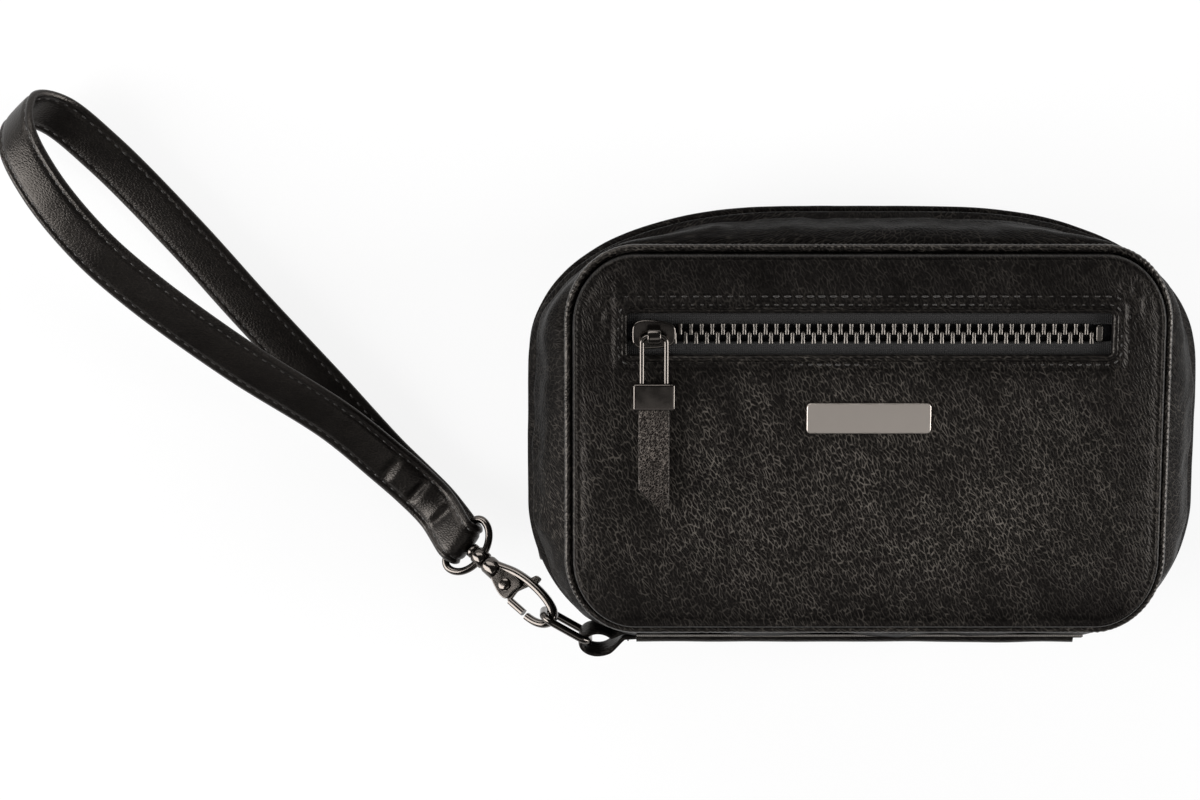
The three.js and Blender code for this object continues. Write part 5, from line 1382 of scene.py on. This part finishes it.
@dataclass
class StrapChain:
    """Oval link, snap hook with its sprung gate, swivel ring, and the wrist strap on the ring."""

    link_start: tuple[float, float, float] = (-66.85, -55.1, 27.0)
    link_heading: float = 30.0
    hook_heading: float = 36.0
    hook_slope: float = 28.0
    link_pitch: float = 13.0
    link_inner: float = 7.4
    wire: float = 1.9
    ring_arc: float = 22.35
    ring_depth: float = 7.7
    ring_length: float = 15.2
    ring_bend: float = 2.3
    pin: tuple[float, float] = (12.5, 0.8)

    def link_along(self) -> Array:
        """Direction of the link from the tab to the hook."""
        heading = math.radians(self.link_heading)
        return np.array([-math.cos(heading), math.sin(heading), 0.0])

    def hook_place(self) -> Place:
        """Frame of the hook: x from the link to the strap, y across towards the gate, z off the plate."""
        heading, slope = math.radians(self.hook_heading), math.radians(self.hook_slope)
        origin = self.link_start + self.link_pitch * self.link_along()
        flat = np.array([-math.cos(heading), math.sin(heading), 0.0])
        along = flat * math.cos(slope) - Z_AXIS * math.sin(slope)
        across = np.array([-math.sin(heading), -math.cos(heading), 0.0])
        return Place(tuple(origin), tuple(along), tuple(across), tuple(np.cross(along, across)))

    def link(self) -> None:
        """Oval wire link between the tab and the hook."""
        along = self.link_along()
        loop = rounded_rectangle(self.link_pitch, self.link_inner + self.wire, 2.6, 12, 10)
        points = self.link_start + (loop[:, :1] + self.link_pitch / 2.0) * along + loop[:, 1:] * Z_AXIS
        make_piece("chain_link", [wire(points, self.wire, np.cross(along, Z_AXIS))], NICKEL, "chain_link")

    def hook(self) -> None:
        """Cast hook: a round-edged bar from the collar round the claw, two cheeks for the gate, a collar."""
        place = self.hook_place()
        spine = np.array([[19.5, -0.4], [16.5, -1.5], [13.0, -3.0], [9.0, -3.6], [5.0, -3.65], [1.5, -3.2],
                          [-1.4, -2.3], [-2.85, -0.9], [-2.95, 0.7], [-1.8, 2.3], [0.6, 3.3], [3.5, 3.55]])
        fine = np.linspace(0.0, 1.0, len(spine))
        at = np.linspace(0.0, 1.0, 90)
        flat = np.column_stack([np.interp(at, fine, spine[:, k]) for k in (0, 1)])
        reach = 9
        kernel = bell(np.arange(-reach, reach + 1), 0.0, 4.0)
        padded = np.concatenate([np.repeat(flat[:1], reach, 0), flat, np.repeat(flat[-1:], reach, 0)])
        flat = np.column_stack([np.convolve(padded[:, k], kernel / kernel.sum(), "valid") for k in (0, 1)])
        path = place.put(raised(flat, 0.0))
        share = np.linspace(0.0, 1.0, len(path))
        swell = 1.0 + 0.3 * bell(share, 0.0, 0.16) - 0.08 * bell(share, 1.0, 0.1)
        sections = scaled(superellipse(2.1, 2.8, 2.6, 28), swell, 1.0)
        cast = flat_sweep(path, sections, place.axes[2], False)
        cheek = np.array([[9.6, 3.5], [9.6, 1.0], [8.6, -2.2], [12.0, -2.6], [16.5, -1.8], [18.0, -0.6],
                          [18.0, 0.8], [16.5, 2.0], [13.0, 3.5], [11.0, 3.9]])
        outline = smoothed(evenly(cheek, 0.5, True)[0], 2)
        cheeks = [slab(outline, low, low + 0.7, 0.22, place) for low in (0.7, -1.4)]
        origin, axes = np.array(place.origin), place.axes
        collar = turned([(16.0, 1.6), (16.2, 2.2), (16.6, 2.4), (19.6, 2.4), (20.1, 2.2), (20.3, 1.5)],
                        origin, axes)
        make_piece("hook_body", [cast, *cheeks, collar], NICKEL, "hook", crease=50.0)
        pin_at = origin + self.pin[0] * axes[0] + self.pin[1] * axes[1]
        rivet = turned([(-2.2, 0.7), (-2.15, 1.3), (-1.9, 1.6), (-1.4, 1.6), (-1.4, 0.9),
                        (1.4, 0.9), (1.4, 1.6), (1.9, 1.6), (2.15, 1.3), (2.2, 0.7)],
                       pin_at, axes[[2, 0, 1]], 28)
        make_piece("gate_pin", [rivet], NICKEL, "hook", crease=45.0)
        post = turned([(17.0, 0.6), (17.1, 1.0), (24.4, 1.0), (24.4, 1.7), (24.7, 1.9), (25.6, 1.9),
                       (25.9, 1.6)], origin, axes, 32)
        make_piece("swivel_post", [post], NICKEL, "hook", crease=45.0)

    def gate(self) -> None:
        """Gate lever: a thin plate in the slot with a thumb nub, and the bar that closes the claw."""
        place = self.hook_place()
        lever = np.array([[10.5, -2.5], [8.2, -4.6], [7.4, -6.2], [5.75, -6.2], [5.8, -4.7], [7.35, -2.5],
                          [8.95, 0.3], [8.95, 4.2], [11.1, 2.5], [13.9, 2.2], [13.9, -0.6]])
        plate = slab(smoothed(evenly(lever, 0.4, True)[0][::-1], 1), -0.4, 0.4, 0.15, place)
        line = place.put(raised(raised(np.linspace(4.3, 9.0, 16), 3.35), 0.0))
        bar = flat_sweep(line, superellipse(1.8, 2.2, 2.8, 24), place.axes[2], False)
        make_piece("hook_gate", [plate, bar], NICKEL, "hook_gate", crease=50.0)

    def ring(self) -> None:
        """Swivel ring: a wire bent to a D with a turned boss on its arc."""
        place = self.hook_place()
        bar, half, bend = self.ring_arc + self.ring_depth, self.ring_length / 2.0, self.ring_bend
        turn = np.linspace(0.0, QUARTER, 14)
        corner = np.column_stack([bar - bend + bend * np.cos(turn), half - bend + bend * np.sin(turn)])
        bow = np.linspace(0.0, QUARTER, 30)[1:]
        arc = np.column_stack([bar - bend - (bar - bend - self.ring_arc) * np.sin(bow), half * np.cos(bow)])
        side = np.concatenate([[[bar, 0.0]], corner, arc])
        loop = np.concatenate([side, (side * (1.0, -1.0))[-2:0:-1]])
        path = place.put(evenly(raised(loop, 0.0), 0.5, True)[0])
        boss = turned([(20.6, 1.4), (20.7, 2.1), (21.0, 2.3), (23.7, 2.3), (24.0, 2.1), (24.1, 1.4)],
                      np.array(place.origin), place.axes)
        make_piece("swivel_ring", [wire(path, self.wire, place.axes[2]), boss], NICKEL, "swivel_ring",
                   crease=50.0)

    def build(self) -> None:
        """Makes the link, the hook with its gate, and the ring."""
        self.link()
        self.hook()
        self.gate()
        self.ring()


@dataclass
class WristStrap:
    """Band of two leather layers that wraps the ring's bar and lies in a loop on the table."""

    chain: StrapChain
    width: float = 12.0
    thickness: float = 2.4
    lean: float = 10.0
    wrap_radius: float = 2.45
    seam_out: float = 4.15
    twist: tuple[float, float] = (8.0, 45.0)
    tacks: tuple[float, ...] = (6.5, 16.6, 26.0)
    over: tuple[tuple[float, float, float], ...] = (
        (-6, 7.2, 9.6), (-12, 13, 8), (-18.5, 18.8, 8.2), (-31, 30, 11.2), (-54, 46.6, 18), (-77, 65, 23),
        (-90, 77.5, 25), (-101.5, 92, 24), (-107.5, 103, 19.5), (-107, 109, 11.5), (-100.5, 107, 5.2))
    under: tuple[tuple[float, float, float], ...] = (
        (-89, 97, 2.8), (-69, 76, 2.6), (-52, 56.5, 2.6), (-33, 35.5, 2.6), (-18.5, 19.2, 3.4),
        (-12, 13, 4.9), (-6, 7.2, 6.6))

    def route(self) -> tuple[Array, Array]:
        """Centre line of the band and the point on the ring's bar that it wraps."""
        place = self.chain.hook_place()
        bar = place.put(np.array([self.chain.ring_arc + self.chain.ring_depth, 0.0, 0.0]))
        angle = math.pi * (1.5 - np.linspace(0.0, 1.0, 7))[:, None]
        wrap = bar + self.wrap_radius * (np.cos(angle) * place.axes[0] + np.sin(angle) * place.axes[2])
        laid = np.array(self.over + self.under, float)
        laid[:, :2] += bar[:2]
        return catmull_rom(np.concatenate([wrap, laid]), 40), bar

    def frames(self, path: Array, bar: Array) -> tuple[Array, Array]:
        """Across and face directions: from the bar's own direction to a level, leaning one."""
        run = self.over[-2]
        level = unit(np.array([run[1], -run[0], 0.0])) * math.cos(math.radians(self.lean))
        level[2] = math.sin(math.radians(self.lean))
        share = ease(np.linalg.norm(path - bar, axis=1), *self.twist)[:, None]
        across = -self.chain.hook_place().axes[1] * (1.0 - share) + level * share
        travel = tangents(path, True)
        face = unit(np.cross(travel, across))
        return unit(np.cross(face, travel)), face

    def section(self, arc: Array, path: Array) -> Array:
        """Section of the band at each place: rounded edges, stitched grooves, lips, and a puffed middle.

        Half thickness is t/2 sqrt(1 - |2a/w|^6). The outer face adds a pillow (1 - (a/4)^2)^0.8, which the
        tacks pinch.
        """
        half = self.width / 2.0
        a = half * np.sin(np.linspace(-QUARTER, QUARTER, 40))
        body = self.thickness / 2.0 * np.sqrt(np.clip(1.0 - np.abs(a / half) ** 6, 0.0, 1.0))
        groove = 0.34 * bell(np.abs(a), self.seam_out, 0.42) - 0.14 * bell(np.abs(a), 5.1, 0.5)
        pillow = np.clip(1.0 - (a / 4.0) ** 2, 0.0, None) ** 0.8
        since = arc - math.pi * self.wrap_radius
        pinch = sum(bell(since, tack, 1.1) for tack in self.tacks)
        pads = 0.8 * ease(since, 7.0, 9.0) * (1.0 - ease(since, 23.5, 25.5))
        puff = (0.22 + pads) * (1.0 - np.clip(pinch, 0.0, 1.0)) - 0.25 * np.clip(pinch, 0.0, 1.0)
        puff = puff + 0.05 * crumple(path, 5.0, 91)
        outer = -(body - groove)[None] - pillow[None] * puff[:, None]
        inner = np.broadcast_to(body - 0.6 * groove, outer.shape)
        top = np.stack([np.broadcast_to(a, outer.shape), outer], axis=-1)
        low = np.stack([np.broadcast_to(a, outer.shape), inner], axis=-1)[:, -2:0:-1]
        return np.concatenate([top, low], axis=1)

    def build(self) -> None:
        """Makes the band and the stitches along both of its edges, on both faces."""
        dense, bar = self.route()
        spacing = 0.6
        path = evenly(dense, spacing, True)[0]
        across, face = self.frames(path, bar)
        arc = np.arange(len(path)) * spacing
        band = sweep(path, self.section(arc, path), across, face, True)
        make_piece("wrist_strap", [band], STRAP_LEATHER, "strap")
        rows = []
        for side in (-self.seam_out, self.seam_out):
            for turn in (-1.0, 1.0):
                depth = self.thickness / 2.0 - (0.3 if turn < 0.0 else 0.16)
                line = path + across * side + face * (turn * depth)
                rows.append(SEAM.row(line, face * turn, True))
        sew("strap_stitches", rows, "strap")


# Floor, light and camera


@dataclass
class Studio:
    """White floor, soft boxes and the camera of the picture."""

    camera_at: tuple[float, float, float] = (-0.064, 0.1517, 0.7856)
    tilt: float = -10.9
    lens: float = 93.9
    sensor: float = 36.0
    floor_radius: float = 10.0
    floor_sweep: float = 1.8
    floor_drop: float = 0.0002
    paper: str = "#fbfbfb"
    own_glow: float = 0.86
    surround: float = 0.07

    def camera(self) -> None:
        """Camera nearly straight above the front panel."""
        data = bpy.data.cameras.new("camera")
        data.lens, data.sensor_width = self.lens, self.sensor
        data.clip_start, data.clip_end = 0.01, 40.0
        made = bpy.data.objects.new("camera", data)
        made.location = self.camera_at
        made.rotation_euler = (math.radians(self.tilt), 0.0, 0.0)
        bpy.context.scene.collection.objects.link(made)
        bpy.context.scene.camera = made

    def floor(self) -> None:
        """Paper floor whose far edge sweeps up all round: r = R + s sin a and z = s (1 - cos a).

        It keeps the shadow but stays near white to the camera and in reflections.
        """
        sides, steps = 96, 12
        turn = np.linspace(0.0, TURN, sides, endpoint=False)
        climb = np.linspace(0.0, QUARTER, steps + 1)[:, None]
        reach = self.floor_radius + self.floor_sweep * np.sin(climb)
        height = self.floor_sweep * (1.0 - np.cos(climb)) - self.floor_drop + 0.0 * turn
        points = np.stack([reach * np.cos(turn), reach * np.sin(turn), height], axis=-1).reshape(-1, 3)
        low, column = np.meshgrid(np.arange(steps) * sides, np.arange(sides), indexing="ij")
        high, after = low + sides, (column + 1) % sides
        band = np.stack([low + column, low + after, high + after, high + column], axis=-1).reshape(-1, 4)
        mesh = bpy.data.meshes.new("floor")
        mesh.from_pydata(points.tolist(), [], [list(range(sides)), *band.tolist()])
        made = bpy.data.objects.new("floor", mesh)
        bpy.context.scene.collection.objects.link(made)
        paper = bpy.data.materials.new("paper_sweep_white")
        paper.use_nodes = True
        tree = paper.node_tree
        tree.nodes.clear()
        ray = add_node(tree, "LightPath").outputs
        seen = add_node(tree, "Math", {0: ray["Is Camera Ray"], 1: ray["Is Glossy Ray"]}, operation="ADD")
        through = add_node(tree, "Math", {0: seen, 1: ray["Is Transmission Ray"]},
                           operation="ADD", use_clamp=True)
        share = add_node(tree, "Math", {0: through, 1: self.own_glow}, operation="MULTIPLY")
        diffuse = add_node(tree, "BsdfDiffuse", {"Color": linear(self.paper)})
        glow = add_node(tree, "Emission", {"Color": linear("#ffffff"), "Strength": 1.0})
        mix = add_node(tree, "MixShader", {0: share, 1: diffuse, 2: glow})
        add_node(tree, "OutputMaterial", {"Surface": mix})
        mesh.materials.append(paper)

    def soft_box(self, name: str, at: Sequence[float], aim: Sequence[float], size: tuple[float, float],
                 watts: float) -> None:
        """Rectangular soft box at a place, aimed at a point."""
        data = bpy.data.lights.new(name, "AREA")
        data.shape = "RECTANGLE"
        data.size, data.size_y = size
        data.energy = watts
        made = bpy.data.objects.new(name, data)
        made.location = at
        made.rotation_euler = (Vector(aim) - Vector(at)).to_track_quat("-Z", "Y").to_euler()
        bpy.context.scene.collection.objects.link(made)

    def lights(self) -> None:
        """Side soft boxes that draw the edges, one overhead, and an even pale surround."""
        middle = (-0.03, 0.0, 0.02)
        self.soft_box("box_left", (-1.1, -0.15, 0.5), middle, (0.7, 0.9), 18.0)
        self.soft_box("box_right", (1.1, 0.0, 0.32), middle, (0.6, 1.0), 20.0)
        self.soft_box("box_far", (-0.5, 1.1, 0.6), middle, (1.2, 0.5), 8.0)
        self.soft_box("box_top", (0.1, -0.5, 1.4), middle, (1.0, 0.5), 1.4)
        world = bpy.data.worlds.new("surround")
        bpy.context.scene.world = world
        world.use_nodes = True
        sky = world.node_tree.nodes["Background"]
        sky.inputs["Color"].default_value = linear("#ffffff")
        sky.inputs["Strength"].default_value = self.surround

    def build(self) -> None:
        """Makes the camera, the floor and the lights, and sets the plain view transform."""
        self.camera()
        self.floor()
        self.lights()
        bpy.context.scene.view_settings.view_transform = "Standard"


POCKET_PULL = ZipPull(
    name="pocket", place=Place((-51.2, 26.6, 51.9)), pull_place=Place((-51.2, 26.6, 56.7)), slider_width=7.4,
    crown_rise=1.5, crown_along_x=True, bail_width=7.0, bail_reach=14.4, ferrule=(9.9, 6.4, 2.6),
    tab=(7.4, 27.5, 1.6), slant=5.5)
MAIN_PULL = ZipPull(
    name="main", place=Place((-76.35, -12.5, 27.0), (0.0, 1.0, 0.0), (0.0, 0.0, -1.0), (-1.0, 0.0, 0.0)),
    pull_place=Place((-79.75, -12.5, 27.0), (0.0, 0.0, 1.0), (0.0, 1.0, 0.0), (-1.0, 0.0, 0.0)),
    slider_width=7.0, crown_rise=0.1, crown_along_x=False, bail_width=7.2, bail_reach=9.0,
    ferrule=(7.0, 6.4, 2.4), tab=(5.4, 12.4, 1.2), slant=2.0, curl=1.5)


def dress_kept_nodes(nodes: dict[str, bpy.types.Object]) -> None:
    """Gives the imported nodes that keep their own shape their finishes, by name."""
    kept = {"back_board": BOARD, "front_board": BOARD, "gate_spring": NICKEL,
            "main_zip_start_stop": TEETH_METAL, "main_zip_end_stop": TEETH_METAL}
    for name, finish in kept.items():
        nodes[name].data.materials.clear()
        nodes[name].data.materials.append(finish.material())
        LOG.info("%s: kept", name)


def main() -> None:
    """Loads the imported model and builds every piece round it, in the order it is sewn and assembled."""
    logging.basicConfig(level=logging.INFO, format="%(name)s %(message)s")
    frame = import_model()
    Studio().build()
    shell = CaseShell()
    shell.back_panel()
    for half in Half:
        shell.gusset(half)
        shell.piping(half)
    FrontPocket(shell).build()
    MainZip(shell).build()
    Inside(shell).build()
    POCKET_PULL.build()
    MAIN_PULL.build()
    SpineAndTab(shell).build()
    chain = StrapChain()
    chain.build()
    WristStrap(chain).build()
    dress_kept_nodes(frame["nodes"])


if __name__ == "__main__":
    main()
